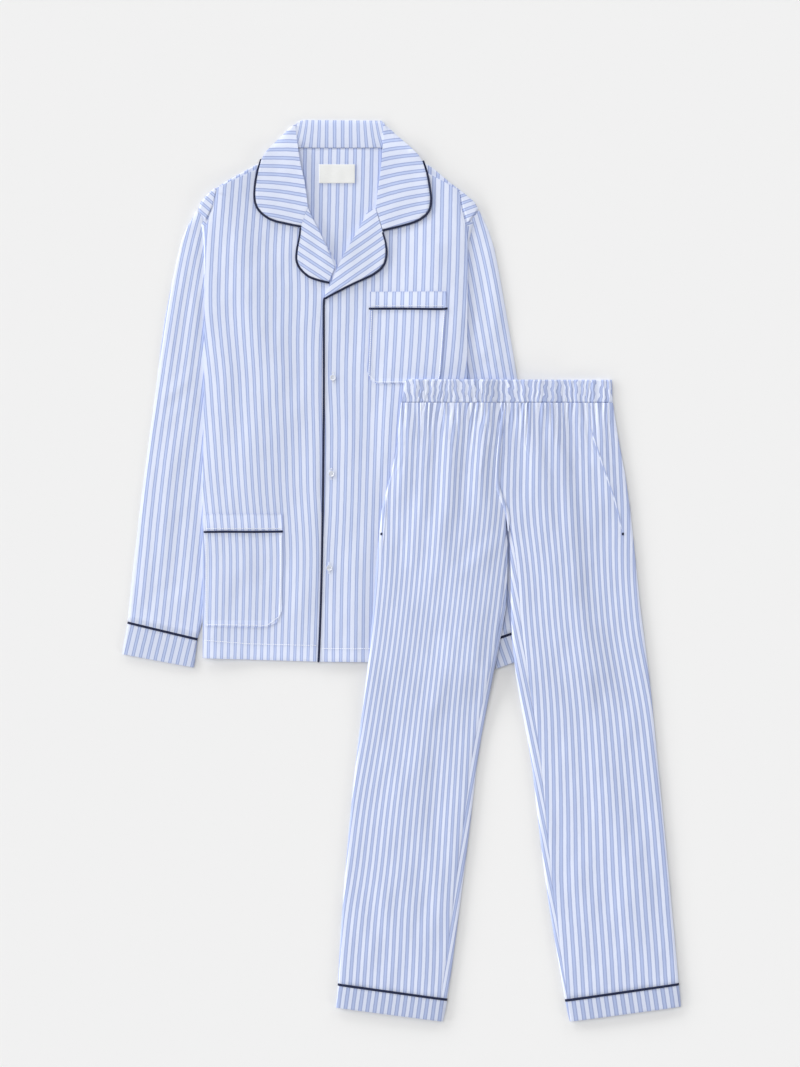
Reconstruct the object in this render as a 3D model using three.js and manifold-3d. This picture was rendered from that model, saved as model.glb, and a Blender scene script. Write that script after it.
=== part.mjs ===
// A pyjama set laid flat: a button-through jacket, with the trousers lying over its lower right side.
// Millimetres, +Z up, +Y towards the collar. The set rests on the plane z = 0.
import * as THREE from 'three';
import { mergeVertices } from 'three/addons/utils/BufferGeometryUtils.js';
import Module from 'manifold-3d';

const wasm = await Module();
wasm.setup();

// Cloth, seams and the air between layers that lie on each other
const CLOTH = 1.2;
const COLLAR_CLOTH = 1.8;
const BAND_CLOTH = 1.6;
const LABEL_CLOTH = 1;
const SEAM = 0.3;
const AIR = 0.5;
const PIPING_RADIUS = 1.25;
const PIPING_ROOM = PIPING_RADIUS + 1.6 * SEAM;
const PIPING_SIDES = 6;

// How high the flattened parts stand
const SLEEVE_TALL = 3.4;
const CUFF_TALL = 4.4;
const BODY_PUFF = 1.2;
const LEG_TALL = 6;
const LEG_BAND_TALL = 6.4;
const WAIST_TALL = 5;

// Where the trousers lie over the jacket: the jacket point under the middle of the waistband's top edge
const TROUSERS_AT = { x: 258, y: 423 };

// How far past the jacket the trousers stay up before they come down to the surface
const DRAPE_REACH = 22;
const DRAPE_FALL = 50;

// How far the body bridges past the sleeves that lie under it
const BRIDGE_REACH = 22;
const BRIDGE_FALL = 58;

// Buttons
const BUTTON_RADIUS = 5.2;
const BUTTON_THICK = 2.2;
const BUTTONS = [
  { x: -4.5, y: 426 },
  { x: -6.8, y: 282 },
  { x: -9.8, y: 141 },
];

const FINISH = {
  cloth: { color: 0xd6dff3, roughness: 0.85, metalness: 0 },
  piping: { color: 0x182142, roughness: 0.7, metalness: 0 },
  button: { color: 0xdee2e8, roughness: 0.3, metalness: 0 },
  label: { color: 0xeeeee6, roughness: 0.8, metalness: 0 },
};

// Edges of the jacket's pieces, from x at the body's middle and y at the hem.
// Each row is one section of the piece: its left end (x1, y1) and its right end (x2, y2).
const BACK_ROWS = [
  { x1: -199.5, y1: 6, x2: 198, y2: 2 },
  { x1: -199.5, y1: 60, x2: 198, y2: 60 },
  { x1: -199.5, y1: 160, x2: 198, y2: 160 },
  { x1: -199.2, y1: 270, x2: 197.5, y2: 270 },
  { x1: -198, y1: 380, x2: 196.5, y2: 380 },
  { x1: -197.4, y1: 480, x2: 196.5, y2: 480 },
  { x1: -197, y1: 570, x2: 196.8, y2: 570 },
  { x1: -198, y1: 630, x2: 199, y2: 630 },
  { x1: -203, y1: 664, x2: 208, y2: 664 },
  { x1: -206, y1: 680, x2: 213, y2: 680 },
  { x1: -199, y1: 694, x2: 203, y2: 694 },
  { x1: -180, y1: 711, x2: 180, y2: 711 },
  { x1: -136.5, y1: 736, x2: 150, y2: 736 },
  { x1: -111, y1: 750, x2: 132, y2: 750 },
  { x1: -55, y1: 770.6, x2: 70, y2: 770.6 },
];

const FRONT_UNDER_ROWS = [
  { x1: -199.5, y1: 6, x2: 0, y2: 0 },
  { x1: -199.5, y1: 60, x2: 0, y2: 60 },
  { x1: -199.5, y1: 150, x2: 2, y2: 153 },
  { x1: -199.2, y1: 262, x2: 3, y2: 273 },
  { x1: -198, y1: 370, x2: 4, y2: 393 },
  { x1: -197.4, y1: 460, x2: 6, y2: 500 },
  { x1: -196.8, y1: 540, x2: 8, y2: 572 },
  { x1: -196, y1: 600, x2: -3, y2: 605 },
  { x1: -193.5, y1: 654, x2: -22, y2: 637 },
  { x1: -187, y1: 676, x2: -38, y2: 669 },
  { x1: -182, y1: 693, x2: -50, y2: 723 },
  { x1: -179, y1: 704, x2: -56, y2: 752 },
  { x1: -177, y1: 711, x2: -55.5, y2: 769 },
];

const FRONT_OVER_ROWS = [
  { x1: -24.2, y1: 0.8, x2: 198, y2: -1.5 },
  { x1: -21.6, y1: 63, x2: 198, y2: 60 },
  { x1: -19.2, y1: 153, x2: 198, y2: 150 },
  { x1: -17.4, y1: 273, x2: 197.5, y2: 262 },
  { x1: -16.4, y1: 393, x2: 196.5, y2: 370 },
  { x1: -16.4, y1: 480, x2: 196.5, y2: 460 },
  { x1: -16.2, y1: 538, x2: 197, y2: 530 },
  { x1: -12.5, y1: 556, x2: 197.2, y2: 570 },
  { x1: -1.5, y1: 578, x2: 197.6, y2: 610 },
  { x1: 17, y1: 617, x2: 195.5, y2: 650 },
  { x1: 38.5, y1: 654, x2: 190, y2: 672 },
  { x1: 62, y1: 683, x2: 186.6, y2: 688 },
  { x1: 67, y1: 723, x2: 185.6, y2: 702 },
  { x1: 70.5, y1: 769, x2: 181, y2: 709 },
];

// The lapels and collar leaves run from the roll line to the piped edge
const LAPEL_LEFT_ROWS = [
  { x1: -52.6, y1: 651.6, x2: -41.6, y2: 681.6 },
  { x1: -54.8, y1: 636, x2: -36.8, y2: 669 },
  { x1: -58.5, y1: 618, x2: -29.2, y2: 654 },
  { x1: -59.2, y1: 601.5, x2: -21, y2: 637.5 },
  { x1: -53.2, y1: 588.8, x2: -13.5, y2: 621 },
  { x1: -40.5, y1: 577.5, x2: -8.2, y2: 609 },
  { x1: -24, y1: 571.5, x2: -3.8, y2: 599.2 },
  { x1: -11, y1: 568.5, x2: -1.2, y2: 591.8 },
];

const LAPEL_RIGHT_ROWS = [
  { x1: 59, y1: 679, x2: 69.6, y2: 644.4 },
  { x1: 47.2, y1: 674.2, x2: 74.2, y2: 628.5 },
  { x1: 36.8, y1: 654, x2: 75.8, y2: 611.2 },
  { x1: 25.5, y1: 634.5, x2: 71.2, y2: 594 },
  { x1: 15, y1: 616.5, x2: 55.5, y2: 580.5 },
  { x1: 5.2, y1: 597, x2: 30, y2: 568.5 },
  { x1: -3, y1: 577.5, x2: 6, y2: 556.5 },
  { x1: -12, y1: 559.5, x2: -7.5, y2: 549 },
  { x1: -17, y1: 548.5, x2: -15.6, y2: 544.6 },
];

// wrap is 1 where the leaf folds away over the shoulder, and 0 where its edge is piped
const LEAF_LEFT_ROWS = [
  { x1: -67.5, y1: 802.5, x2: -60.5, y2: 806, wrap: 1 },
  { x1: -79.5, y1: 790.5, x2: -59.8, y2: 793.5, wrap: 1 },
  { x1: -96, y1: 774, x2: -57.5, y2: 777, wrap: 1 },
  { x1: -111, y1: 759, x2: -55, y2: 759, wrap: 0.6 },
  { x1: -117.8, y1: 735, x2: -51.8, y2: 741, wrap: 0 },
  { x1: -121.8, y1: 711, x2: -48, y2: 726, wrap: 0 },
  { x1: -121.5, y1: 690, x2: -45.8, y2: 712.5, wrap: 0 },
  { x1: -114, y1: 675, x2: -44.5, y2: 703.5, wrap: 0 },
  { x1: -97.5, y1: 663, x2: -43.5, y2: 696, wrap: 0 },
  { x1: -75, y1: 657, x2: -42.8, y2: 688.5, wrap: 0 },
  { x1: -52.5, y1: 652.5, x2: -42, y2: 682.5, wrap: 0 },
];

const LEAF_RIGHT_ROWS = [
  { x1: 70.5, y1: 806, x2: 77, y2: 803, wrap: 1 },
  { x1: 71, y1: 792, x2: 93, y2: 788.2, wrap: 1 },
  { x1: 70.2, y1: 775.5, x2: 112.5, y2: 771, wrap: 1 },
  { x1: 69, y1: 759, x2: 129, y2: 755.2, wrap: 0.6 },
  { x1: 67.5, y1: 741, x2: 136.5, y2: 733.5, wrap: 0 },
  { x1: 65.2, y1: 723, x2: 141, y2: 708, wrap: 0 },
  { x1: 63, y1: 708, x2: 142.5, y2: 690, wrap: 0 },
  { x1: 62, y1: 700.5, x2: 138, y2: 673.5, wrap: 0 },
  { x1: 61.5, y1: 694.5, x2: 121.5, y2: 660.8, wrap: 0 },
  { x1: 60.8, y1: 687, x2: 94.5, y2: 652.5, wrap: 0 },
  { x1: 60, y1: 681, x2: 70.4, y2: 646.8, wrap: 0 },
];

// The collar stand behind the neck: z is its underside
const STAND_ROWS = [
  { x1: -58, y1: 771.2, x2: 71, y2: 771.2, z: 0.3 },
  { x1: -61, y1: 780, x2: 72, y2: 780, z: 1.7 },
  { x1: -62, y1: 796, x2: 73, y2: 795, z: 1.9 },
  { x1: -60, y1: 807, x2: 74, y2: 806, z: 1.7 },
  { x1: -50, y1: 812.6, x2: 68, y2: 811.6, z: 0 },
];

// Sleeves: the outer edge (x1, y1) and the inner edge (x2, y2), from the shoulder to the cuff
const SLEEVE_LEFT_ROWS = [
  { x1: -208.4, y1: 677, x2: -193.8, y2: 659 },
  { x1: -214, y1: 667, x2: -190, y2: 646 },
  { x1: -226.5, y1: 645, x2: -180, y2: 628 },
  { x1: -235, y1: 617, x2: -166, y2: 600 },
  { x1: -246, y1: 567, x2: -150, y2: 556 },
  { x1: -255.3, y1: 520.5, x2: -138, y2: 508 },
  { x1: -262.5, y1: 470, x2: -131, y2: 452 },
  { x1: -269, y1: 413, x2: -130, y2: 392 },
  { x1: -276, y1: 360, x2: -134, y2: 335 },
  { x1: -288, y1: 273, x2: -148, y2: 255 },
  { x1: -297, y1: 198, x2: -166, y2: 180 },
  { x1: -304.5, y1: 133.5, x2: -186, y2: 110 },
  { x1: -312, y1: 61, x2: -207.3, y2: 36 },
];

const SLEEVE_RIGHT_ROWS = [
  { x1: 214.4, y1: 677, x2: 197.6, y2: 655 },
  { x1: 221, y1: 664, x2: 192, y2: 640 },
  { x1: 233, y1: 636, x2: 180, y2: 618 },
  { x1: 240.5, y1: 605, x2: 166, y2: 588 },
  { x1: 249, y1: 558, x2: 148, y2: 540 },
  { x1: 258.8, y1: 502.5, x2: 136, y2: 488 },
  { x1: 266, y1: 460, x2: 131, y2: 440 },
  { x1: 272.4, y1: 422, x2: 130, y2: 392 },
  { x1: 283.5, y1: 363, x2: 134, y2: 330 },
  { x1: 297, y1: 288, x2: 146, y2: 252 },
  { x1: 307.5, y1: 213, x2: 166, y2: 175 },
  { x1: 318.8, y1: 130.5, x2: 194, y2: 98 },
  { x1: 329.3, y1: 67.8, x2: 225, y2: 31.3 },
];

const CUFF_LEFT_ROWS = [
  { x1: -312.6, y1: 57.4, x2: -208, y2: 32.2 },
  { x1: -315.5, y1: 40, x2: -209.6, y2: 18 },
  { x1: -318.4, y1: 25, x2: -211.4, y2: 3 },
  { x1: -320.2, y1: 12, x2: -213, y2: -8.1 },
];

const CUFF_RIGHT_ROWS = [
  { x1: 330.4, y1: 64.2, x2: 226.2, y2: 27.6 },
  { x1: 334.6, y1: 51, x2: 230, y2: 14 },
  { x1: 339.4, y1: 39, x2: 234.4, y2: 1.6 },
  { x1: 343.5, y1: 27, x2: 238.5, y2: -10.5 },
];

// Pockets, their hem bands and the label
const CHEST_POCKET_ROWS = [
  { x1: 51.6, y1: 527.8, x2: 164.8, y2: 527.2 },
  { x1: 50, y1: 495, x2: 162, y2: 495 },
  { x1: 48.6, y1: 460, x2: 159.4, y2: 460 },
  { x1: 47.2, y1: 429, x2: 157, y2: 429 },
  { x1: 60, y1: 417.4, x2: 153, y2: 417.4 },
];

const CHEST_BAND_ROWS = [
  { x1: 51, y1: 555, x2: 165, y2: 555 },
  { x1: 51.2, y1: 543, x2: 165, y2: 543 },
  { x1: 51.4, y1: 531.2, x2: 165, y2: 530.6 },
];

const CHEST_PIPING = [
  { x: 50.5, y: 529.5 },
  { x: 90, y: 529.6 },
  { x: 130, y: 528.9 },
  { x: 158, y: 528.7 },
  { x: 166, y: 529.6 },
];

const SIDE_POCKET_ROWS = [
  { x1: -196, y1: 193.4, x2: -80.4, y2: 193.8 },
  { x1: -196, y1: 150, x2: -80.6, y2: 150 },
  { x1: -196, y1: 105, x2: -81, y2: 105 },
  { x1: -196, y1: 67.5, x2: -82, y2: 67.5 },
  { x1: -196, y1: 54, x2: -102, y2: 52.5 },
];

const SIDE_BAND_ROWS = [
  { x1: -196, y1: 222, x2: -81, y2: 222 },
  { x1: -196, y1: 210, x2: -80.4, y2: 210 },
  { x1: -196, y1: 197, x2: -79.8, y2: 197.4 },
];

const SIDE_PIPING = [
  { x: -196.5, y: 195 },
  { x: -168, y: 195.6 },
  { x: -125, y: 195.2 },
  { x: -80.5, y: 195.8 },
];

const LABEL_ROWS = [
  { x1: -25.5, y1: 746.2, x2: 28.5, y2: 746.2 },
  { x1: -25.5, y1: 732, x2: 28.5, y2: 732 },
  { x1: -25.5, y1: 717.8, x2: 28.5, y2: 717.8 },
];

// Where the back rolls over each shoulder: the fold (x1, y1) and the seam on the front side (x2, y2)
const SHOULDER_LEFT_ROWS = [
  { x1: -181.5, y1: 710.2, x2: -179.4, y2: 707 },
  { x1: -194, y1: 699.4, x2: -181.8, y2: 696 },
  { x1: -202.4, y1: 688.6, x2: -184.6, y2: 684 },
  { x1: -206, y1: 680, x2: -195.2, y2: 661.6 },
];

const SHOULDER_RIGHT_ROWS = [
  { x1: 184, y1: 706.6, x2: 186, y2: 703 },
  { x1: 197, y1: 698, x2: 188.6, y2: 690 },
  { x1: 206.4, y1: 688.6, x2: 191, y2: 678 },
  { x1: 213, y1: 680, x2: 198.2, y2: 658.4 },
];

// Trousers, from x at the middle and down from the waistband's top edge.
// outer and inner are the leg's fold edges; roll is how far the back comes round the inner fold.
const LEG_LEFT_ROWS = [
  { outer: -160.5, outerDown: 34.5, inner: -4, innerDown: 34.5, roll: 0 },
  { outer: -163, outerDown: 60, inner: -9, innerDown: 60, roll: 0 },
  { outer: -166.5, outerDown: 92, inner: -13, innerDown: 92, roll: 0 },
  { outer: -171.5, outerDown: 122, inner: -16, innerDown: 125, roll: 0 },
  { outer: -180, outerDown: 158, inner: -16, innerDown: 160, roll: 0 },
  { outer: -189.5, outerDown: 195, inner: -3, innerDown: 195, roll: 0 },
  { outer: -193.5, outerDown: 226, inner: 0, innerDown: 228, roll: 0 },
  { outer: -194.5, outerDown: 243, inner: -0.6, innerDown: 240, roll: 3 },
  { outer: -196.5, outerDown: 270, inner: -0.6, innerDown: 272, roll: 4 },
  { outer: -201.9, outerDown: 340, inner: -3, innerDown: 340, roll: 5 },
  { outer: -208.5, outerDown: 412, inner: -17.2, innerDown: 415, roll: 6 },
  { outer: -218.4, outerDown: 496, inner: -33, innerDown: 499, roll: 8 },
  { outer: -227.4, outerDown: 566, inner: -45.8, innerDown: 571, roll: 9 },
  { outer: -236.5, outerDown: 655, inner: -56.2, innerDown: 663, roll: 10 },
  { outer: -245.7, outerDown: 760, inner: -69.8, innerDown: 771, roll: 10 },
  { outer: -252, outerDown: 850, inner: -82, innerDown: 866, roll: 10 },
  { outer: -254.9, outerDown: 904.2, inner: -91, innerDown: 927, roll: 9 },
];

const LEG_RIGHT_ROWS = [
  { outer: 157.1, outerDown: 34.5, inner: -4, innerDown: 34.5, roll: 0 },
  { outer: 161, outerDown: 60, inner: -9, innerDown: 60, roll: 0 },
  { outer: 166, outerDown: 92, inner: -13, innerDown: 92, roll: 0 },
  { outer: 172, outerDown: 122, inner: -16, innerDown: 125, roll: 0 },
  { outer: 178, outerDown: 158, inner: -16, innerDown: 160, roll: 0 },
  { outer: 183, outerDown: 195, inner: -3, innerDown: 195, roll: 0 },
  { outer: 186.5, outerDown: 226, inner: 0, innerDown: 228, roll: 0 },
  { outer: 188.2, outerDown: 243, inner: 1.6, innerDown: 240, roll: 5 },
  { outer: 191, outerDown: 270, inner: 3.2, innerDown: 272, roll: 9 },
  { outer: 198, outerDown: 340, inner: 3.6, innerDown: 345, roll: 14 },
  { outer: 207.5, outerDown: 412, inner: 8, innerDown: 420, roll: 18 },
  { outer: 216, outerDown: 486, inner: 20, innerDown: 492, roll: 17 },
  { outer: 223.5, outerDown: 566, inner: 34.5, innerDown: 571, roll: 14 },
  { outer: 232.5, outerDown: 655, inner: 45, innerDown: 663, roll: 12 },
  { outer: 243, outerDown: 766, inner: 59.2, innerDown: 775, roll: 9 },
  { outer: 251, outerDown: 853, inner: 75, innerDown: 870, roll: 5 },
  { outer: 255.7, outerDown: 903.6, inner: 85.2, innerDown: 928, roll: 4 },
];

const WAISTBAND_ROWS = [
  { x1: -153.8, down1: 0, x2: 155.6, down2: 0, z: 0 },
  { x1: -156, down1: 16, x2: 156, down2: 16, z: 0.4 },
  { x1: -159.6, down1: 34.4, x2: 156.9, down2: 34.4, z: 0 },
];

const LEG_BAND_LEFT_ROWS = [
  { x1: -255.2, down1: 907.8, x2: -91.4, down2: 930.6 },
  { x1: -256.4, down1: 922, x2: -93.8, down2: 944 },
  { x1: -258.3, down1: 940.5, x2: -97.5, down2: 961.5 },
];

const LEG_BAND_RIGHT_ROWS = [
  { x1: 85.8, down1: 931.8, x2: 256, down2: 907.2 },
  { x1: 88.4, down1: 945, x2: 257.6, down2: 922 },
  { x1: 92.4, down1: 961.5, x2: 258.9, down2: 939 },
];

// Gathers under the waistband: how many on the front, how high, and how they die away down the legs
const GATHERS = 34;
const GATHER_TALL = 1.5;
const GATHER_POINTS = 3;
const GATHER_ROWS = [
  { down: 0, share: 0.8 },
  { down: 14, share: 0.9 },
  { down: 34, share: 0.6 },
  { down: 62, share: 0.3 },
];

// The largest soft folds on top of the cloth, from one end to the other
const JACKET_FOLDS = [
  { x1: -238, y1: 560, x2: -262, y2: 330, tall: 1.1, wide: 14 },
  { x1: -268, y1: 340, x2: -268, y2: 110, tall: 0.9, wide: 16 },
  { x1: 226, y1: 590, x2: 246, y2: 440, tall: 1, wide: 13 },
  { x1: -150, y1: 640, x2: -110, y2: 470, tall: 0.8, wide: 22 },
  { x1: -110, y1: 420, x2: -130, y2: 260, tall: 0.7, wide: 24 },
  { x1: 120, y1: 660, x2: 165, y2: 560, tall: 0.8, wide: 22 },
];

const TROUSER_FOLDS = [
  { x1: -80, y1: -60, x2: -110, y2: -330, tall: 1.4, wide: 18 },
  { x1: -30, y1: -70, x2: -62, y2: -300, tall: 1.1, wide: 16 },
  { x1: 55, y1: -50, x2: 96, y2: -360, tall: 1.4, wide: 18 },
  { x1: 118, y1: -80, x2: 150, y2: -260, tall: 1, wide: 16 },
  { x1: -120, y1: -420, x2: -160, y2: -640, tall: 1, wide: 24 },
  { x1: 120, y1: -400, x2: 150, y2: -660, tall: 1, wide: 24 },
  { x1: 70, y1: -430, x2: 95, y2: -560, tall: 0.9, wide: 18 },
  { x1: -150, y1: -700, x2: -175, y2: -860, tall: 0.8, wide: 24 },
  { x1: 150, y1: -700, x2: 185, y2: -860, tall: 0.8, wide: 24 },
];

// A smooth step from 0 to 1 while value goes from 0 to 1
function ease(value) {
  return THREE.MathUtils.smoothstep(value, 0, 1);
}

// How much a set of long soft folds raises the cloth at one place
function foldsAt(folds, x, y) {
  let rise = 0;
  for (const fold of folds) {
    const run = new THREE.Vector2(fold.x2 - fold.x1, fold.y2 - fold.y1);
    const offset = new THREE.Vector2(x - fold.x1, y - fold.y1);
    const share = offset.dot(run) / run.lengthSq();
    const aside = Math.abs(offset.cross(run)) / run.length();
    const along = ease(share * 3 + 0.3) * ease((1 - share) * 3 + 0.3);
    rise += fold.tall * along * Math.exp(-((aside / fold.wide) ** 2));
  }
  return rise;
}

// A value that follows a table row by row, read between two rows where it falls between them
function readTable(rows, key, value, place) {
  const sorted = [...rows].sort((a, b) => a[key] - b[key]);
  if (place <= sorted[0][key]) return sorted[0][value];
  for (let i = 1; i < sorted.length; i += 1) {
    const [low, high] = [sorted[i - 1], sorted[i]];
    if (place <= high[key]) {
      const share = (place - low[key]) / (high[key] - low[key]);
      return THREE.MathUtils.lerp(low[value], high[value], share);
    }
  }
  return sorted.at(-1)[value];
}

// One edge of a piece as a smooth curve through its table's points
function edgeCurve(rows, xKey, yKey, sign = 1) {
  return new THREE.SplineCurve(rows.map((row) => new THREE.Vector2(row[xKey], sign * row[yKey])));
}

// Evenly spaced shares from 0 to 1
function shares(count) {
  return Array.from({ length: count + 1 }, (_, i) => i / count);
}

// Plan points of a piece: one row for each share along its edges, with the given shares across
function plan(left, right, along, across) {
  return along.map((v) => {
    const start = left.getPoint(v);
    const end = right.getPoint(v);
    return across.map((u) => ({ u, v, x: start.x + (end.x - start.x) * u, y: start.y + (end.y - start.y) * u }));
  });
}

// The rows of a piece with a piped edge, cut back from that edge to leave the piping its room
function cutBack(rows, pipedStart) {
  const [xKey, yKey] = pipedStart ? ['x1', 'y1'] : ['x2', 'y2'];
  const [xFar, yFar] = pipedStart ? ['x2', 'y2'] : ['x1', 'y1'];
  return rows.map((row, i) => {
    if (row.wrap > 0.7) return row;
    const [before, after] = [rows[Math.max(i - 1, 0)], rows[Math.min(i + 1, rows.length - 1)]];
    const edge = new THREE.Vector2(after[xKey] - before[xKey], after[yKey] - before[yKey]).normalize();
    const step = new THREE.Vector2(row[xFar] - row[xKey], row[yFar] - row[yKey]).normalize();
    const room = PIPING_ROOM / Math.max(Math.abs(step.cross(edge)), 0.45);
    return { ...row, [xKey]: row[xKey] + step.x * room, [yKey]: row[yKey] + step.y * room };
  });
}

// Triangles between two neighbouring rows, which may hold different numbers of points
function stitch(index, rowA, rowB) {
  let [a, b] = [0, 0];
  const share = (row, i) => i / (row.length - 1);
  while (a < rowA.length - 1 || b < rowB.length - 1) {
    const stepA = b === rowB.length - 1 || (a < rowA.length - 1 && share(rowA, a + 1) <= share(rowB, b + 1));
    if (stepA) {
      index.push(rowA[a], rowA[a + 1], rowB[b]);
      a += 1;
    } else {
      index.push(rowA[a], rowB[b + 1], rowB[b]);
      b += 1;
    }
  }
}

// A closed wall between an outer and an inner set of rows of points; a ring's rows close on themselves
function wall(outer, inner, ring = false) {
  const position = [];
  const index = [];
  const number = (row) => {
    const first = position.length / 3;
    row.forEach((point) => position.push(point.x, point.y, point.z));
    const ids = row.map((_, i) => first + i);
    return ring ? [...ids, first] : ids;
  };
  const [out, into] = [outer.map(number), inner.map(number)];
  for (let r = 0; r < out.length - 1; r += 1) {
    stitch(index, out[r], out[r + 1]);
    stitch(index, [...into[r + 1]], [...into[r]]);
  }
  stitch(index, into[0], out[0]);
  stitch(index, out.at(-1), into.at(-1));
  if (!ring) {
    stitch(index, out.map((row) => row[0]), into.map((row) => row[0]));
    stitch(index, into.map((row) => row.at(-1)), out.map((row) => row.at(-1)));
  }
  const geometry = new THREE.BufferGeometry();
  geometry.setAttribute('position', new THREE.Float32BufferAttribute(position, 3));
  geometry.setIndex(facingOut(position, index));
  geometry.computeVertexNormals();
  return geometry;
}

// Turns every triangle round where the closed surface would face inwards
function facingOut(position, index) {
  const corner = (i) => new THREE.Vector3().fromArray(position, index[i] * 3);
  let volume = 0;
  for (let i = 0; i < index.length; i += 3) volume += corner(i).dot(corner(i + 1).cross(corner(i + 2)));
  return volume > 0 ? index : index.toReversed();
}

// A sheet that lies on what is under it: under(point) gives its underside
function sheet(points, under, thick) {
  const inner = points.map((row) => row.map((point) => ({ ...point, z: under(point) })));
  const outer = inner.map((row) => row.map((point) => ({ ...point, z: point.z + thick })));
  return { geometry: wall(outer, inner), top: outer };
}

// The height of a sheet's upper face at a place, read on its own triangles
function heightOn(top, x, y) {
  const target = new THREE.Vector3(x, y, 0);
  const flat = (point) => new THREE.Vector3(point.x, point.y, 0);
  let nearest = { gap: Infinity, z: 0 };
  for (let r = 0; r < top.length - 1; r += 1) {
    for (let c = 0; c < top[r].length - 1; c += 1) {
      const quad = [top[r][c], top[r][c + 1], top[r + 1][c + 1], top[r + 1][c]];
      for (const [p, q, s] of [[quad[0], quad[1], quad[3]], [quad[1], quad[2], quad[3]]]) {
        const weight = THREE.Triangle.getBarycoord(target, flat(p), flat(q), flat(s), new THREE.Vector3());
        if (weight && Math.min(weight.x, weight.y, weight.z) >= -1e-6) {
          return weight.x * p.z + weight.y * q.z + weight.z * s.z;
        }
      }
      const gap = Math.hypot(quad[0].x - x, quad[0].y - y);
      if (gap < nearest.gap) nearest = { gap, z: quad[0].z };
    }
  }
  return nearest.z;
}

// The round shoulder of a flattened section: 1 over its middle, 0 at its ends
function crown(s, power) {
  return (1 - Math.abs(s) ** power) ** (1 / power);
}

// One point of a flattened section between two fold edges, on its upper (side 1) or lower (side -1) face
function flattened(start, end, side, s, { base, tall, inset = 0, raise = () => 0, flatEnd = 0 }) {
  const run = new THREE.Vector2(end.x - start.x, end.y - start.y);
  const half = run.length() / 2 - inset;
  const middle = new THREE.Vector2(start.x + run.x / 2, start.y + run.y / 2);
  const place = middle.addScaledVector(run.normalize(), s * half);
  const power = side > 0 ? 4 : 10;
  const round = s * flatEnd > 0 ? 1 : crown(s, power);
  const low = base(place.x, place.y) + inset;
  const reach = tall / 2 - inset;
  const fold = side > 0 ? raise(place.x, place.y) * round : 0;
  const height = Math.max(round * reach, SEAM / 2);
  return { x: place.x, y: place.y, z: low + reach + side * height + fold };
}

// A flattened tube: its rows of fold edges, how many points on its upper and lower faces, and its wall
function tube(rows, upper, lower, thick, shape) {
  const spread = (count) => shares(count).map((u) => Math.sin((u - 0.5) * Math.PI));
  const places = [
    ...spread(upper).map((s) => ({ side: 1, s })),
    ...spread(lower).reverse().map((s) => ({ side: -1, s })),
  ];
  const section = (row, inset) => places.map(({ side, s }) => {
    const own = { ...shape, base: (x, y) => shape.base(x, y) + (row.z ?? 0), inset };
    return flattened({ x: row.x1, y: row.y1 }, { x: row.x2, y: row.y2 }, side, s, own);
  });
  return wall(rows.map((row) => section(row, 0)), rows.map((row) => section(row, thick)), true);
}

// Rows of a tube, as many as asked, along the smooth edges of its table
function smoothRows(rows, count) {
  const [left, right] = [edgeCurve(rows, 'x1', 'y1'), edgeCurve(rows, 'x2', 'y2')];
  return shares(count).map((v) => {
    const [a, b] = [left.getPoint(v), right.getPoint(v)];
    return { x1: a.x, y1: a.y, x2: b.x, y2: b.y };
  });
}

// A round cord through a list of places
function cord(points, steps) {
  const path = new THREE.CatmullRomCurve3(points.map((point) => new THREE.Vector3(point.x, point.y, point.z)));
  const corner = (i) => (i / PIPING_SIDES) * 2 * Math.PI;
  const round = new THREE.Shape(Array.from({ length: PIPING_SIDES }, (_, i) =>
    new THREE.Vector2(PIPING_RADIUS * Math.cos(corner(i)), PIPING_RADIUS * Math.sin(corner(i)))));
  return new THREE.ExtrudeGeometry(round, { steps, bevelEnabled: false, extrudePath: path });
}

// A cord that lies on a panel, along a list of plan places
function cordOn(top, places, steps, lift = 0) {
  const rest = PIPING_RADIUS + AIR + lift;
  return cord(places.map(({ x, y }) => ({ x, y, z: heightOn(top, x, y) + rest })), steps);
}

// Solids joined into one, or cut by one another
function solid(geometry) {
  const bare = geometry.clone();
  bare.deleteAttribute('normal');
  bare.deleteAttribute('uv');
  const merged = mergeVertices(bare, 1e-4);
  const vertProperties = new Float32Array(merged.attributes.position.array);
  const triVerts = new Uint32Array(merged.index.array);
  return new wasm.Manifold(new wasm.Mesh({ numProp: 3, vertProperties, triVerts }));
}

function joined(geometries) {
  const whole = geometries.map(solid).reduce((sum, next) => sum.add(next));
  const mesh = whole.getMesh();
  const geometry = new THREE.BufferGeometry();
  geometry.setAttribute('position', new THREE.Float32BufferAttribute(mesh.vertProperties, 3));
  geometry.setIndex(new THREE.Uint32BufferAttribute(mesh.triVerts, 1));
  geometry.computeVertexNormals();
  return geometry;
}

const jacket = new THREE.Group();
const trousers = new THREE.Group();

function add(group, name, geometry, finish = 'cloth') {
  const mesh = new THREE.Mesh(geometry, new THREE.MeshStandardMaterial(FINISH[finish]));
  mesh.name = name;
  group.add(mesh);
}

// Sleeves and cuffs lie lowest, flat on the surface
const onSurface = () => 0;
const sleeveFolds = (x, y) => (Math.abs(x) > 212 ? foldsAt(JACKET_FOLDS, x, y) : 0);

function sleeve(side, rows, cuffRows) {
  const seat = { base: onSurface, tall: SLEEVE_TALL, raise: sleeveFolds };
  add(jacket, `sleeve_${side}`, tube(smoothRows(rows, 14), 10, 4, CLOTH, seat));
  const cuffSeat = { base: onSurface, tall: CUFF_TALL };
  add(jacket, `cuff_${side}`, tube(cuffRows, 10, 4, BAND_CLOTH, cuffSeat));
  add(jacket, `cuff_piping_${side}`, bandPiping(rows.at(-1), cuffRows[0], CUFF_TALL, onSurface), 'piping');
}

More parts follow.
